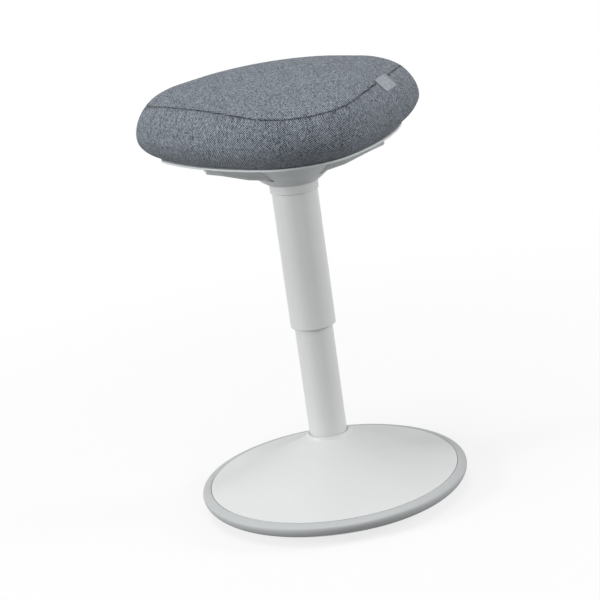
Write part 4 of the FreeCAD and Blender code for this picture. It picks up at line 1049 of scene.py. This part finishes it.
@dataclass
class Cushion:
    """Woven cushion: an inflated form with a sewn seam between top panel and side band."""

    form: CushionForm = CushionForm()
    columns: int = 192
    side_rows: int = 17
    top_rows: int = 25
    seam_steps: tuple[float, ...] = (0.4, 0.9, 1.7, 3.2, 5.6)
    groove_depth: float = 2.0
    groove_reach: float = 0.55
    pull_depth: float = 0.7
    pull_reach: float = 6.0
    pucker_depth: float = 0.35
    pucker_reach: float = 8.0
    pole: tuple[float, float] = (0.0, -12.0)
    pocket_inset: float = 35.0
    pocket_top: float = 485.4
    foot_lift: float = 0.35
    drop_reach: float = 14.0
    start_shrink: float = 1.5
    travel_cap: float = 5.0
    voxel: float = 5.0
    held_reach: float = 5.0
    frames: int = 20
    pressure: float = 55.0
    cloth_quality: int = 5
    cloth_mass: float = 0.3
    hem_held: float = 8.0
    still_foot: float = 4.0
    free_over: float = 14.0
    core_share: float = 0.3
    core_y: float = -8.0
    core_height: float = 515.0
    beyond_step: float = 5.0
    pinch_scale: float = 14.0
    pinch_shift: float = 3.7
    # Painted shade along the seam: how dark it is, how much noise breaks it and how far it reaches.
    shade_share: float = 0.82
    shade_break: float = 0.18
    shade_reach: float = 1.25
    hem_inset: float = 30.0
    roof_inset: float = 60.0
    fill: float = 0.9
    body: Body = Body.SEAT
    slot: Slot = Slot.WOVEN_COVER

    def side_distances(self, length: float) -> list[float]:
        """Return how far below the seam each row of the side lies."""
        near = self.seam_steps[-1]
        even = [near + (length - near) * k / self.side_rows for k in range(1, self.side_rows + 1)]
        return [*self.seam_steps, *even]

    def build(self) -> bpy.types.Object:
        """Build the cushion and dress it.

        Returns:
            The cushion.
        """
        mesher = Mesher()
        air = self.inflated()
        rows = self.rows()
        if air:
            rows = [[self.blown(place, *air) for place in row] for row in rows]
        numbered = [[mesher.point(place) for place in row] for row in rows]
        seam_row = self.side_rows + len(self.seam_steps)
        distances = self.cloth_distances()
        spots = self.form.outline.headings(self.columns)
        for row, (lower, upper) in enumerate(zip(numbered, numbered[1:])):
            for k in range(self.columns):
                after = (k + 1) % self.columns
                corners = (lower[k], lower[after], upper[after], upper[k])
                if row >= seam_row:
                    mesher.flat_face(corners)
                    continue
                left = spots[k][1]
                right = spots[after][1] if after else self.form.outline.perimeter
                low, high = distances[row], distances[row + 1]
                mesher.face(corners, ((left, low), (right, low), (right, high), (left, high)))
        peak = mesher.point(self.peak(air))
        last = numbered[-1]
        for k in range(self.columns):
            mesher.flat_face((last[k], last[(k + 1) % self.columns], peak))
        self.close_pocket(mesher, numbered[0])
        made = mesher.piece("cushion", WOVEN_COVER.cloth_map)
        self.sew(made, numbered, seam_row)
        smooth = made.modifiers.new("even cloth", "SUBSURF")
        smooth.levels = smooth.render_levels = 1
        settle(made, self.body, self.slot, "seat_foam", "cover_top_panel", "cover_side_band")
        return made

    def rows(self) -> list[list[Vector]]:
        """Return the rows of points from the foot over the seam to the crown."""
        per_column = []
        for heading, _ in self.form.outline.headings(self.columns):
            path = self.form.side_path(heading)
            distances = self.side_distances(path_length(path))
            column = [along_path(path, distance) for distance in reversed(distances)]
            column.append(path[0])
            column += self.top_column(path[0], heading)
            per_column.append(column)
        return [list(row) for row in zip(*per_column)]

    def top_column(self, seam: Vector, heading: float) -> list[Vector]:
        """Place the top panel's points from the seam in to the crown's middle.

        Args:
            seam: Point of the seam.
            heading: Direction of the side's normal there.

        Returns:
            The points, without the middle.
        """
        start, end = Vector(seam.xy), Vector(self.pole)
        reach = (end - start).length
        near = self.seam_steps[-1]
        gaps = [*self.seam_steps]
        gaps += [near + (reach - near) * k / self.top_rows for k in range(1, self.top_rows)]
        column = []
        for gap in gaps:
            place = start.lerp(end, gap / reach)
            height = self.form.crown(place.x, place.y) + self.form.full(heading, gap)
            height -= self.form.drop(heading) * math.exp(-gap / self.drop_reach)
            column.append(Vector((place.x, place.y, height)))
        return column

    def cloth_distances(self) -> list[float]:
        """Return the mean height on the flat side band of each row from foot to seam."""
        lengths = [path_length(self.form.side_path(heading))
                   for heading, _ in self.form.outline.headings(24)]
        mean = sum(lengths) / len(lengths)
        return [-gap for gap in reversed(self.side_distances(mean))] + [0.0]

    def blown(self, place: Vector, before: BVHTree, after: BVHTree) -> Vector:
        """Move a point as the air moved the cloth there, but not near the foot.

        Args:
            place: Point of the plain form.
            before: Form before it was blown up, in metres.
            after: Form after it.

        Returns:
            The moved point.
        """
        height = place.z - self.form.foot - self.still_foot
        free = min(1.0, max(0.0, height / self.free_over))
        if free <= 0:
            return place
        core = Vector((place.x * self.core_share, place.y * self.core_share + self.core_y,
                       self.core_height))
        way = (place - core).normalized()
        reaches = [tree.ray_cast(core * MM, way)[3] for tree in (before, after)]
        if None in reaches:
            return place
        return place + way * (reaches[1] - reaches[0]) / MM * free

    def peak(self, air: Optional[tuple[BVHTree, BVHTree]]) -> Vector:
        """Return the middle of the crown."""
        top = Vector((*self.pole, self.form.crown(*self.pole)))
        return self.blown(top, *air) if air else top

    def close_pocket(self, mesher: Mesher, foot: list[int]) -> None:
        """Turn the cover in under the hem and close it over the board.

        Args:
            mesher: Mesh of the cushion.
            foot: Its lowest row.
        """
        rows = [foot]
        spots = self.form.outline.headings(self.columns)
        hem = self.form.foot + self.foot_lift
        for inset, height in ((self.hem_inset, hem), (self.pocket_inset, hem),
                              (self.pocket_inset, self.pocket_top),
                              (self.roof_inset, self.pocket_top)):
            row = []
            for heading, _ in spots:
                place, _ = self.form.outline.spot(heading, inset)
                row.append(mesher.point((place.x, place.y, height)))
            rows.append(row)
        for upper, lower in zip(rows, rows[1:]):
            for k in range(self.columns):
                after = (k + 1) % self.columns
                mesher.flat_face((lower[k], lower[after], upper[after], upper[k]))
        middle = mesher.point((*self.pole, self.pocket_top))
        for k in range(self.columns):
            mesher.flat_face((rows[-1][(k + 1) % self.columns], rows[-1][k], middle))

    def inflated(self) -> tuple[BVHTree, BVHTree]:
        """Blow up a slightly smaller copy with its seam and hem held.

        Returns:
            The form before and after, in metres.
        """
        mesher = Mesher()
        numbered = [[mesher.point(place) for place in row[::2]] for row in self.rows()[::2]]
        mesher.ring_faces(numbered, closed=False)
        mesher.faces.append(tuple(reversed(numbered[0])))
        mesher.faces.append(tuple(numbered[-1]))
        start = mesher.piece("cushion_start")
        shrink = [vertex.normal.copy() for vertex in start.data.vertices]
        for vertex, way in zip(start.data.vertices, shrink):
            vertex.co -= way * self.start_shrink * MM
        even = start.modifiers.new("even", "REMESH")
        even.mode, even.voxel_size = "VOXEL", self.voxel * MM
        view = bpy.context.evaluated_depsgraph_get()
        start.data = bpy.data.meshes.new_from_object(start.evaluated_get(view))
        start.modifiers.clear()
        self.hold(start)
        before = [vertex.co.copy() for vertex in start.data.vertices]
        self.add_air(start)
        scene = bpy.context.scene
        for number in range(1, self.frames + 1):
            scene.frame_set(number)
        view = bpy.context.evaluated_depsgraph_get()
        blown = start.evaluated_get(view).data
        after = []
        for vertex, place in zip(blown.vertices, before):
            move = vertex.co - place
            cap = self.travel_cap * MM
            after.append(place + move * min(1.0, cap / max(move.length, 1e-9)))
        polygons = [tuple(face.vertices) for face in blown.polygons]
        start.modifiers.clear()
        scene.frame_set(1)
        mesh = start.data
        bpy.data.objects.remove(start)
        bpy.data.meshes.remove(mesh)
        log.info("cushion blown up, %d points", len(after))
        return BVHTree.FromPolygons(before, polygons), BVHTree.FromPolygons(after, polygons)

    def hold(self, start: bpy.types.Object) -> None:
        """Pin the points by the seam and the foot.

        Args:
            start: The copy that is blown up.
        """
        seams = [self.form.seam(heading) - Vector((0.0, 0.0, self.form.drop(heading)))
                 for heading, _ in self.form.outline.headings(240)]
        tree = KDTree(len(seams))
        for number, place in enumerate(seams):
            tree.insert(place, number)
        tree.balance()
        held = start.vertex_groups.new(name="held")
        for vertex in start.data.vertices:
            place = vertex.co / MM
            near = tree.find(place)[2] < self.held_reach + self.start_shrink
            if near or place.z < self.form.foot + self.start_shrink + self.hem_held:
                held.add([vertex.index], 1.0, "REPLACE")

    def add_air(self, start: bpy.types.Object) -> None:
        """Give the copy cloth with air in it and no gravity.

        Args:
            start: The copy that is blown up.
        """
        cloth = start.modifiers.new("air", "CLOTH")
        settings = cloth.settings
        settings.quality = self.cloth_quality
        settings.mass = self.cloth_mass
        settings.use_pressure = True
        settings.uniform_pressure_force = self.pressure
        settings.effector_weights.gravity = 0.0
        settings.vertex_group_mass = "held"
        cloth.point_cache.frame_start, cloth.point_cache.frame_end = 1, self.frames

    def sew(self, made: bpy.types.Object, numbered: list[list[int]], seam_row: int) -> None:
        """Press in the seam, pucker the cloth beside it and mark its groove for painted shade.

        Args:
            made: The cushion.
            numbered: Its rows of points.
            seam_row: Number of the row at the seam.
        """
        mesh = made.data
        outward = [vertex.normal.copy() for vertex in mesh.vertices]
        seam_shade = [0.0] * len(mesh.vertices)
        gaps = {seam_row: 0.0}
        for step, gap in enumerate(self.seam_steps, start=1):
            gaps[seam_row - step] = gaps[seam_row + step] = gap
        for extra in (1, 2, 3):
            far = self.seam_steps[-1] + self.beyond_step * extra
            gaps[seam_row - len(self.seam_steps) - extra] = far
            gaps[seam_row + len(self.seam_steps) + extra] = far
        for row, gap in gaps.items():
            for k, number in enumerate(numbered[row]):
                vertex = mesh.vertices[number]
                turn = FULL_TURN * k / self.columns
                pinch = noise.noise(Vector((math.cos(turn) * self.pinch_scale,
                                            math.sin(turn) * self.pinch_scale,
                                            self.pinch_shift * (row > seam_row))))
                depth = (self.groove_depth * math.exp(-(gap / self.groove_reach) ** 2)
                         + self.pull_depth * math.exp(-gap / self.pull_reach)
                         + self.pucker_depth * pinch * math.exp(-gap / self.pucker_reach))
                vertex.co -= outward[number] * depth * MM
                # Painted shade in the seam's groove, broken by noise along the seam.
                wave = noise.noise(Vector((k * 0.37, 1.3, 0.0)))
                seam_shade[number] = ((self.shade_share + self.shade_break * wave)
                                 * math.exp(-(gap / self.shade_reach) ** 2))
        layer = mesh.attributes.new(WOVEN_COVER.line_shade_mark, "FLOAT", "POINT")
        layer.data.foreach_set("value", seam_shade)


@dataclass
class LabelTab:
    """Blank ribbon folded once and sewn into the seam, in millimetres."""

    top: Point = (115.6, -64.8, 552.9)
    heading: float = -33.6
    lean: float = 42.6
    slope: float = 2.8
    width: float = 36.0
    drop: float = 19.3
    thickness: float = 1.2
    rows: int = 12
    columns: int = 12
    curl: float = 0.5
    tuck: float = 2.0
    body: Body = Body.SEAT
    slot: Slot = Slot.TAB_CLOTH

    def build(self) -> bpy.types.Object:
        """Build the tab and dress it.

        Returns:
            The tab.
        """
        turn, lean, slope = (math.radians(v) for v in (self.heading, self.lean, self.slope))
        out = Vector((math.cos(turn), math.sin(turn), 0.0))
        along = Vector((-math.sin(turn) * math.cos(slope), math.cos(turn) * math.cos(slope),
                        math.sin(slope)))
        down = out * math.sin(lean) - Vector((0.0, 0.0, math.cos(lean)))
        face = along.cross(down).normalized()
        if face.dot(out) < 0:
            face = -face
        mesher = Mesher()
        profile = self.loop()
        rows = []
        for reach, off in profile:
            row = []
            for k in range(self.columns + 1):
                share = k / self.columns - 0.5
                sag = self.curl * (reach / self.drop) ** 2 * (4 * share * share)
                place = (Vector(self.top) + along * self.width * share + down * reach
                         + face * (off + sag))
                row.append(mesher.point(place))
            rows.append(row)
        gone = 0.0
        for row, (upper, lower) in enumerate(zip(rows, rows[1:])):
            step = math.dist(profile[row], profile[row + 1])
            for k in range(self.columns):
                left, right = (self.width * (k + more) / self.columns for more in (0, 1))
                mesher.face((upper[k], upper[k + 1], lower[k + 1], lower[k]),
                            ((left, gone), (right, gone), (right, gone + step),
                             (left, gone + step)))
            gone += step
        count = len(rows)
        for end, flip in ((0, False), (self.columns, True)):
            for k in range(count // 2 - 1):
                corners = (rows[k][end], rows[k + 1][end], rows[count - 2 - k][end],
                           rows[count - 1 - k][end])
                corners = tuple(dict.fromkeys(corners))
                if len(corners) > 2:
                    mesher.face(tuple(reversed(corners)) if flip else corners)
        made = mesher.piece("label_ribbon", TAB_RIBBON.cloth_map)
        # Painted shade: both side edges of the ribbon are darkened with the cloth's seam colour.
        layer = made.data.attributes.new(TAB_RIBBON.line_shade_mark, "FLOAT", "POINT")
        edges = [0.6 if k in (0, self.columns) else 0.0
                 for _ in rows for k in range(self.columns + 1)]
        layer.data.foreach_set("value", edges)
        return settle(made, self.body, self.slot, "label_tab")

    def loop(self) -> list[tuple[float, float]]:
        """Return the ribbon's path down the front, round the fold and up the back."""
        half = self.thickness / 2
        fold = self.drop - half
        front = [(-self.tuck + (fold + self.tuck) * k / self.rows,
                  half * (0.75 + 0.25 * k / self.rows)) for k in range(self.rows)]
        bend = [(fold + half * math.sin(a), half * math.cos(a))
                for a in (math.pi * k / 6 for k in range(7))]
        back = [(reach, -off) for reach, off in reversed(front)]
        return front + bend + back


@dataclass
class LeverHood:
    """Thin lip under the shell in front of each lever arm, in millimetres."""

    arm_x: tuple[float, ...] = (30.0, 62.0, 94.0, 114.0)
    arm_front: tuple[float, ...] = (-35.5, -46.0, -50.0, -50.0)
    arm_top: tuple[float, ...] = (449.5, 457.0, 467.5, 472.3)
    start: float = 40.0
    end: float = 106.0
    steps: int = 22
    play: float = 1.3
    thickness: float = 1.4
    overlap: float = 1.6
    sink: float = 0.8
    bevel: float = 0.35
    least: float = 0.3
    rim: float = 474.8
    body: Body = Body.SEAT
    slot: Slot = Slot.GREY_PLASTIC

    def build(self, shell: bpy.types.Object) -> bpy.types.Object:
        """Build both lips and dress them.

        Args:
            shell: The seat shell that they hang from.

        Returns:
            The lips, as one piece.
        """
        tree = BVHTree.FromPolygons([vertex.co / MM for vertex in shell.data.vertices],
                                    [tuple(face.vertices) for face in shell.data.polygons])
        mesher = Mesher()
        for side in (1, -1):
            sections = []
            for k in range(self.steps + 1):
                share = k / self.steps
                x = self.start + (self.end - self.start) * share
                front = self.between(x, self.arm_front) - self.play
                foot = self.between(x, self.arm_top) - self.overlap * (1 - share ** 3)
                hit = tree.ray_cast(Vector((side * x, front - self.thickness / 2, foot)),
                                    Vector((0.0, 0.0, 1.0)))[0]
                top = (hit.z if hit else self.rim) + self.sink
                foot = min(foot, top - self.least)
                back = front - self.thickness
                section = [(front, top), (front, foot + self.bevel), (front - self.bevel, foot),
                           (back + self.bevel, foot), (back, foot + self.bevel), (back, top)]
                sections.append([mesher.point((side * x, y, z)) for y, z in section])
            for first, last in zip(sections, sections[1:]):
                for k in range(len(first)):
                    after = (k + 1) % len(first)
                    corners = (first[k], first[after], last[after], last[k])
                    mesher.face(corners if side < 0 else tuple(reversed(corners)))
            mesher.face(tuple(sections[0] if side > 0 else reversed(sections[0])))
            mesher.face(tuple(reversed(sections[-1]) if side > 0 else sections[-1]))
        return settle(mesher.piece("lever_hood"), self.body, self.slot)

    def between(self, x: float, values: tuple[float, ...]) -> float:
        """Return a value of the arm between its stations.

        Args:
            x: Distance beside the column.
            values: The value at each station.

        Returns:
            The value there.
        """
        spans = list(zip(self.arm_x, self.arm_x[1:], values, values[1:]))
        low, high, start, end = next((span for span in spans if x <= span[1]), spans[-1])
        return start + (end - start) * (x - low) / (high - low)


# Base

@dataclass
class RockerRing:
    """Soft ring round the base with a fine tread on its lower edge, in millimetres."""

    teeth: int = 329
    cuts: int = 4
    tread_depth: float = 0.75
    tread_top: float = 16.5
    tread_inner: float = 160.0
    tread_ease: float = 3.0
    sunk_in: float = 0.55
    sunk_up: float = 0.8
    body: Body = Body.BASE
    slot: Slot = Slot.RING_RUBBER

    def profile(self) -> list[tuple[float, float]]:
        """Return the ring's section, from the foot of its inner wall round the outside."""
        toe = arc_through((165.0, 10.94), (178.0, 23.5), 15.0, 12)
        shoulder = [(178.0, 25.0), (177.75, 26.3), (177.2, 27.3)]
        top = arc_through((177.2, 27.3), (166.9, 30.2), 22.0, 8)
        lip = [(166.65, 30.12), (166.6, 29.9), (166.6, 27.9)]
        inner = [(158.0, 27.9), (149.3, 27.9), (149.0, 27.7), (149.0, 24.1), (149.2, 24.0),
                 (152.0, 24.0), (152.0, 17.0), (152.0, 9.5), (152.2, 9.3)]
        under = [(152.0 + 13.0 * k / 6, 9.28 + 1.66 * k / 6) for k in range(1, 6)]
        return [*under, *toe, *shoulder, *top[1:], *lip, *inner]

    def build(self) -> bpy.types.Object:
        """Build the ring and dress it.

        Returns:
            The ring.
        """
        mesher = Mesher()
        count = self.teeth * self.cuts
        rows = []
        for radius, height in self.profile():
            free = min(1.0, max(0.0, (self.tread_top - height) / self.tread_ease))
            free *= min(1.0, max(0.0, (radius - self.tread_inner) / self.tread_ease))
            row = []
            for k in range(count):
                turn = FULL_TURN * k / count
                sunk = self.tread_depth * free * (1.0 if k % self.cuts in (1, 2) else 0.0)
                reach, up = radius - sunk * self.sunk_in, height + sunk * self.sunk_up
                row.append(mesher.point((reach * math.cos(turn), reach * math.sin(turn), up)))
            rows.append(row)
        mesher.ring_faces(rows)
        return settle(mesher.piece("rocker_tyre"), self.body, self.slot, "rocker_ring")


class Recess(Enum):
    """Shapes of a screw's recess, by the number of its corners."""

    CROSS = 4
    STAR = 6


@dataclass
class ScrewHeads:
    """Pan-head screws seen from below, in millimetres."""

    name: str
    node: str
    places: tuple[tuple[float, float], ...]
    radius: float
    foot: float
    height: float
    shank: float
    shank_top: float
    recess: Recess
    body: Body
    slot: Slot = Slot.ZINC_STEEL
    sides: int = 36

    def build(self) -> bpy.types.Object:
        """Build the screws and dress them.

        Returns:
            The screws, as one piece.
        """
        mesher = Mesher()
        for x, y in self.places:
            self.screw(mesher, x, y)
        return settle(mesher.piece(self.name), self.body, self.slot, self.node)

    def screw(self, mesher: Mesher, x: float, y: float) -> None:
        """Add one screw, head down.

        Args:
            mesher: Mesh of the screws.
            x: Place of its axis.
            y: Place of its axis.
        """
        top = self.foot + self.height
        rounding = self.height * 0.45
        outer = [(self.shank * 0.2, self.shank_top), (self.shank, self.shank_top - 1.0),
                 (self.shank, top), (self.radius * 0.98, top),
                 (self.radius, top - 0.15), (self.radius, self.foot + rounding),
                 (self.radius * 0.93, self.foot + rounding * 0.4), (self.radius * 0.72, self.foot)]
        rows = []
        for radius, height in outer:
            rows.append([mesher.point((x + radius * math.cos(a), y + radius * math.sin(a), height))
                         for a in self.turns()])
        for depth, share in ((0.0, 1.0), (0.12, 0.94), (self.height * 0.6, 0.8)):
            rows.append([mesher.point((x + self.recess_radius(a) * share * math.cos(a),
                                       y + self.recess_radius(a) * share * math.sin(a),
                                       self.foot + depth)) for a in self.turns()])
        mesher.ring_faces(rows, closed=False)
        mesher.face(tuple(rows[-1]))
        mesher.face(tuple(reversed(rows[0])))

    def turns(self) -> list[float]:
        """Return the directions round the screw."""
        return [FULL_TURN * k / self.sides for k in range(self.sides)]

    def recess_radius(self, turn: float) -> float:
        """Return the recess's reach in a direction."""
        wave = math.cos(turn * self.recess.value)
        if self.recess is Recess.CROSS:
            return self.radius * (0.16 + 0.4 * max(0.0, wave) ** 2)
        return self.radius * (0.42 + 0.08 * wave)


# CAD nodes that stay

@dataclass
class CarriedNodes:
    """CAD nodes whose shape is right, dressed in the finish of their slot."""

    nodes: dict[str, bpy.types.Object]

    def build(self) -> None:
        """Dress every node."""
        for name, node in sorted(self.nodes.items()):
            for held in node.material_slots:
                slot = Slot(held.material.name.split(".")[0])
                held.material = FINISHES[slot].material()
            log.info("%s dressed", name)


# Stage

@dataclass(frozen=True)
class Lamp:
    """A soft studio lamp."""

    name: str
    place: Point
    aim: Point
    size: float
    power: float
    colour: tuple[float, float, float] = (1.0, 1.0, 1.0)

    def build(self) -> bpy.types.Object:
        """Hang the lamp.

        Returns:
            The lamp.
        """
        light = bpy.data.lights.new(self.name, "AREA")
        light.shape, light.size = "DISK", self.size
        light.energy, light.color = self.power, self.colour
        made = bpy.data.objects.new(self.name, light)
        made.location = self.place
        way = Vector(self.aim) - Vector(self.place)
        made.rotation_euler = way.to_track_quat("-Z", "Y").to_euler()
        bpy.context.scene.collection.objects.link(made)
        return made


@dataclass
class Stage:
    """Pale floor, soft lamps, pale world and the photograph's camera, in metres."""

    floor_radius: float = 30.0
    floor_sides: int = 64
    floor_drop: float = 0.0002
    shadow_start: float = 0.2
    floor_colour: Colour = tone(245, 245, 245)
    floor_bounce: Colour = tone(130, 130, 130)
    floor_white: float = 0.78
    shadow_reach: float = 1.4
    ambient: float = 0.36
    camera_turn: float = 8.3
    camera_tilt: float = 0.278
    camera_roll: float = -0.1397
    camera_place: Point = (-0.3054, -2.0933, 0.8746)
    lens: float = 101.354
    shift_x: float = -10 / 600
    lamps: tuple[Lamp, ...] = (
        Lamp("top lamp", (-0.8, -0.9, 3.8), (0.0, 0.0, 0.3), 2.2, 48.0),
        Lamp("left lamp", (-3.2, -0.6, 1.5), (0.0, 0.0, 0.35), 1.2, 63.0),
        Lamp("right lamp", (3.0, -0.8, 1.5), (0.0, 0.0, 0.3), 1.2, 44.0),
        Lamp("front lamp", (0.4, -3.2, 0.7), (0.0, 0.0, 0.35), 1.4, 8.5),
    )

    def build(self) -> None:
        """Set the stage."""
        self.build_world()
        self.build_floor()
        for lamp in self.lamps:
            lamp.build()
        self.build_camera()
        bpy.context.scene.view_settings.view_transform = "Standard"

    @staticmethod
    def seen(wiring: Wiring) -> bpy.types.NodeSocket:
        """Return 1 for rays that show the background: to the camera, mirrored or through glass."""
        path = wiring.put("ShaderNodeLightPath").outputs
        mirrored = wiring.maths("MAXIMUM", path["Is Glossy Ray"], path["Is Transmission Ray"])
        return wiring.maths("MAXIMUM", path["Is Camera Ray"], mirrored)

    def build_world(self) -> None:
        """Light the scene evenly and show white behind it."""
        world = bpy.data.worlds.new("studio")
        world.use_nodes = True
        world.node_tree.nodes.clear()
        wiring = Wiring(world.node_tree)
        light = wiring.put("ShaderNodeBackground", {"Color": tone(255, 255, 255),
                                                    "Strength": self.ambient})
        white = wiring.put("ShaderNodeBackground", {"Color": tone(255, 255, 255), "Strength": 1.0})
        both = wiring.put("ShaderNodeMixShader", {0: self.seen(wiring), 1: light.outputs[0],
                                                  2: white.outputs[0]})
        wiring.put("ShaderNodeOutputWorld", {"Surface": both.outputs[0]})
        bpy.context.scene.world = world

    def build_floor(self) -> None:
        """Lay a floor that is near white, keeps the shadow and is clear from below."""
        mesher = Mesher()
        rim = [mesher.point((x, y, 0.0))
               for x, y in on_circle(self.floor_radius / MM, self.floor_sides)]
        mesher.face(tuple(rim))
        floor = mesher.piece("floor")
        floor.location.z = -self.floor_drop
        material = bpy.data.materials.new("floor")
        material.use_nodes = True
        material.node_tree.nodes.clear()
        wiring = Wiring(material.node_tree)
        path = wiring.put("ShaderNodeLightPath").outputs
        matt = wiring.put("ShaderNodeBsdfDiffuse",
                          {"Color": wiring.mix(path["Is Camera Ray"], self.floor_bounce,
                                               self.floor_colour)})
        white = wiring.put("ShaderNodeEmission", {"Color": tone(255, 255, 255), "Strength": 1.0})
        place = wiring.put("ShaderNodeTexCoord").outputs["Object"]
        away = wiring.put("ShaderNodeVectorMath", {0: place}, operation="LENGTH").outputs["Value"]
        share = wiring.maths("MULTIPLY", self.seen(wiring),
                             wiring.span(away, self.shadow_start, self.shadow_reach,
                                         self.floor_white, 1.0))
        both = wiring.put("ShaderNodeMixShader", {0: share, 1: matt.outputs[0],
                                                  2: white.outputs[0]})
        below = wiring.put("ShaderNodeNewGeometry").outputs["Backfacing"]
        clear = wiring.put("ShaderNodeBsdfTransparent")
        either = wiring.put("ShaderNodeMixShader", {0: below, 1: both.outputs[0],
                                                    2: clear.outputs[0]})
        wiring.put("ShaderNodeOutputMaterial", {"Surface": either.outputs[0]})
        floor.data.materials.append(material)

    def build_camera(self) -> None:
        """Place the camera as the photograph's, rolled because the stool leans there."""
        data = bpy.data.cameras.new("camera")
        data.lens, data.sensor_width, data.shift_x = self.lens, 36.0, self.shift_x
        data.clip_start, data.clip_end = 0.05, 100.0
        turn, tilt, roll = math.radians(self.camera_turn), self.camera_tilt, self.camera_roll
        right = Vector((math.cos(turn), -math.sin(turn), 0.0))
        ahead = Vector((math.cos(tilt) * math.sin(turn), math.cos(tilt) * math.cos(turn),
                        -math.sin(tilt)))
        up = right.cross(ahead)
        rolled_right = right * math.cos(roll) + up * math.sin(roll)
        rolled_up = up * math.cos(roll) - right * math.sin(roll)
        turned = Matrix((rolled_right, rolled_up, -ahead)).transposed()
        camera = bpy.data.objects.new("camera", data)
        camera.matrix_world = Matrix.Translation(self.camera_place) @ turned.to_4x4()
        bpy.context.scene.collection.objects.link(camera)
        bpy.context.scene.camera = camera


def shell_screw_places() -> tuple[tuple[float, float], ...]:
    """Return the places of the screws that hold the shell."""
    right = ((27.0, -130.5), (144.8, 45.6), (129.9, 68.5))
    return right + tuple((-x, y) for x, y in right)


def main() -> None:
    """Build the stage and every piece."""
    logging.basicConfig(level=logging.INFO, format="%(name)s: %(message)s")
    for extra in [o for o in bpy.data.objects if o.name in ("Cube", "Camera", "Light")]:
        bpy.data.objects.remove(extra)
    Stage().build()
    CarriedNodes(frame["nodes"]).build()
    Cushion().build()
    LabelTab().build()
    LeverHood().build(frame["nodes"]["under_shell"])
    RockerRing().build()
    ScrewHeads("shell_screw_heads", "shell_screws", shell_screw_places(), radius=4.0, foot=472.5,
               height=2.0, shank=1.7, shank_top=483.0, recess=Recess.CROSS, body=Body.SEAT).build()
    ScrewHeads("pan_screw_heads", "pan_screws", on_circle(120.0, 6), radius=4.6, foot=6.4,
               height=2.4, shank=2.4, shank_top=18.5, recess=Recess.STAR, body=Body.BASE).build()


if __name__ == "__main__":
    main()
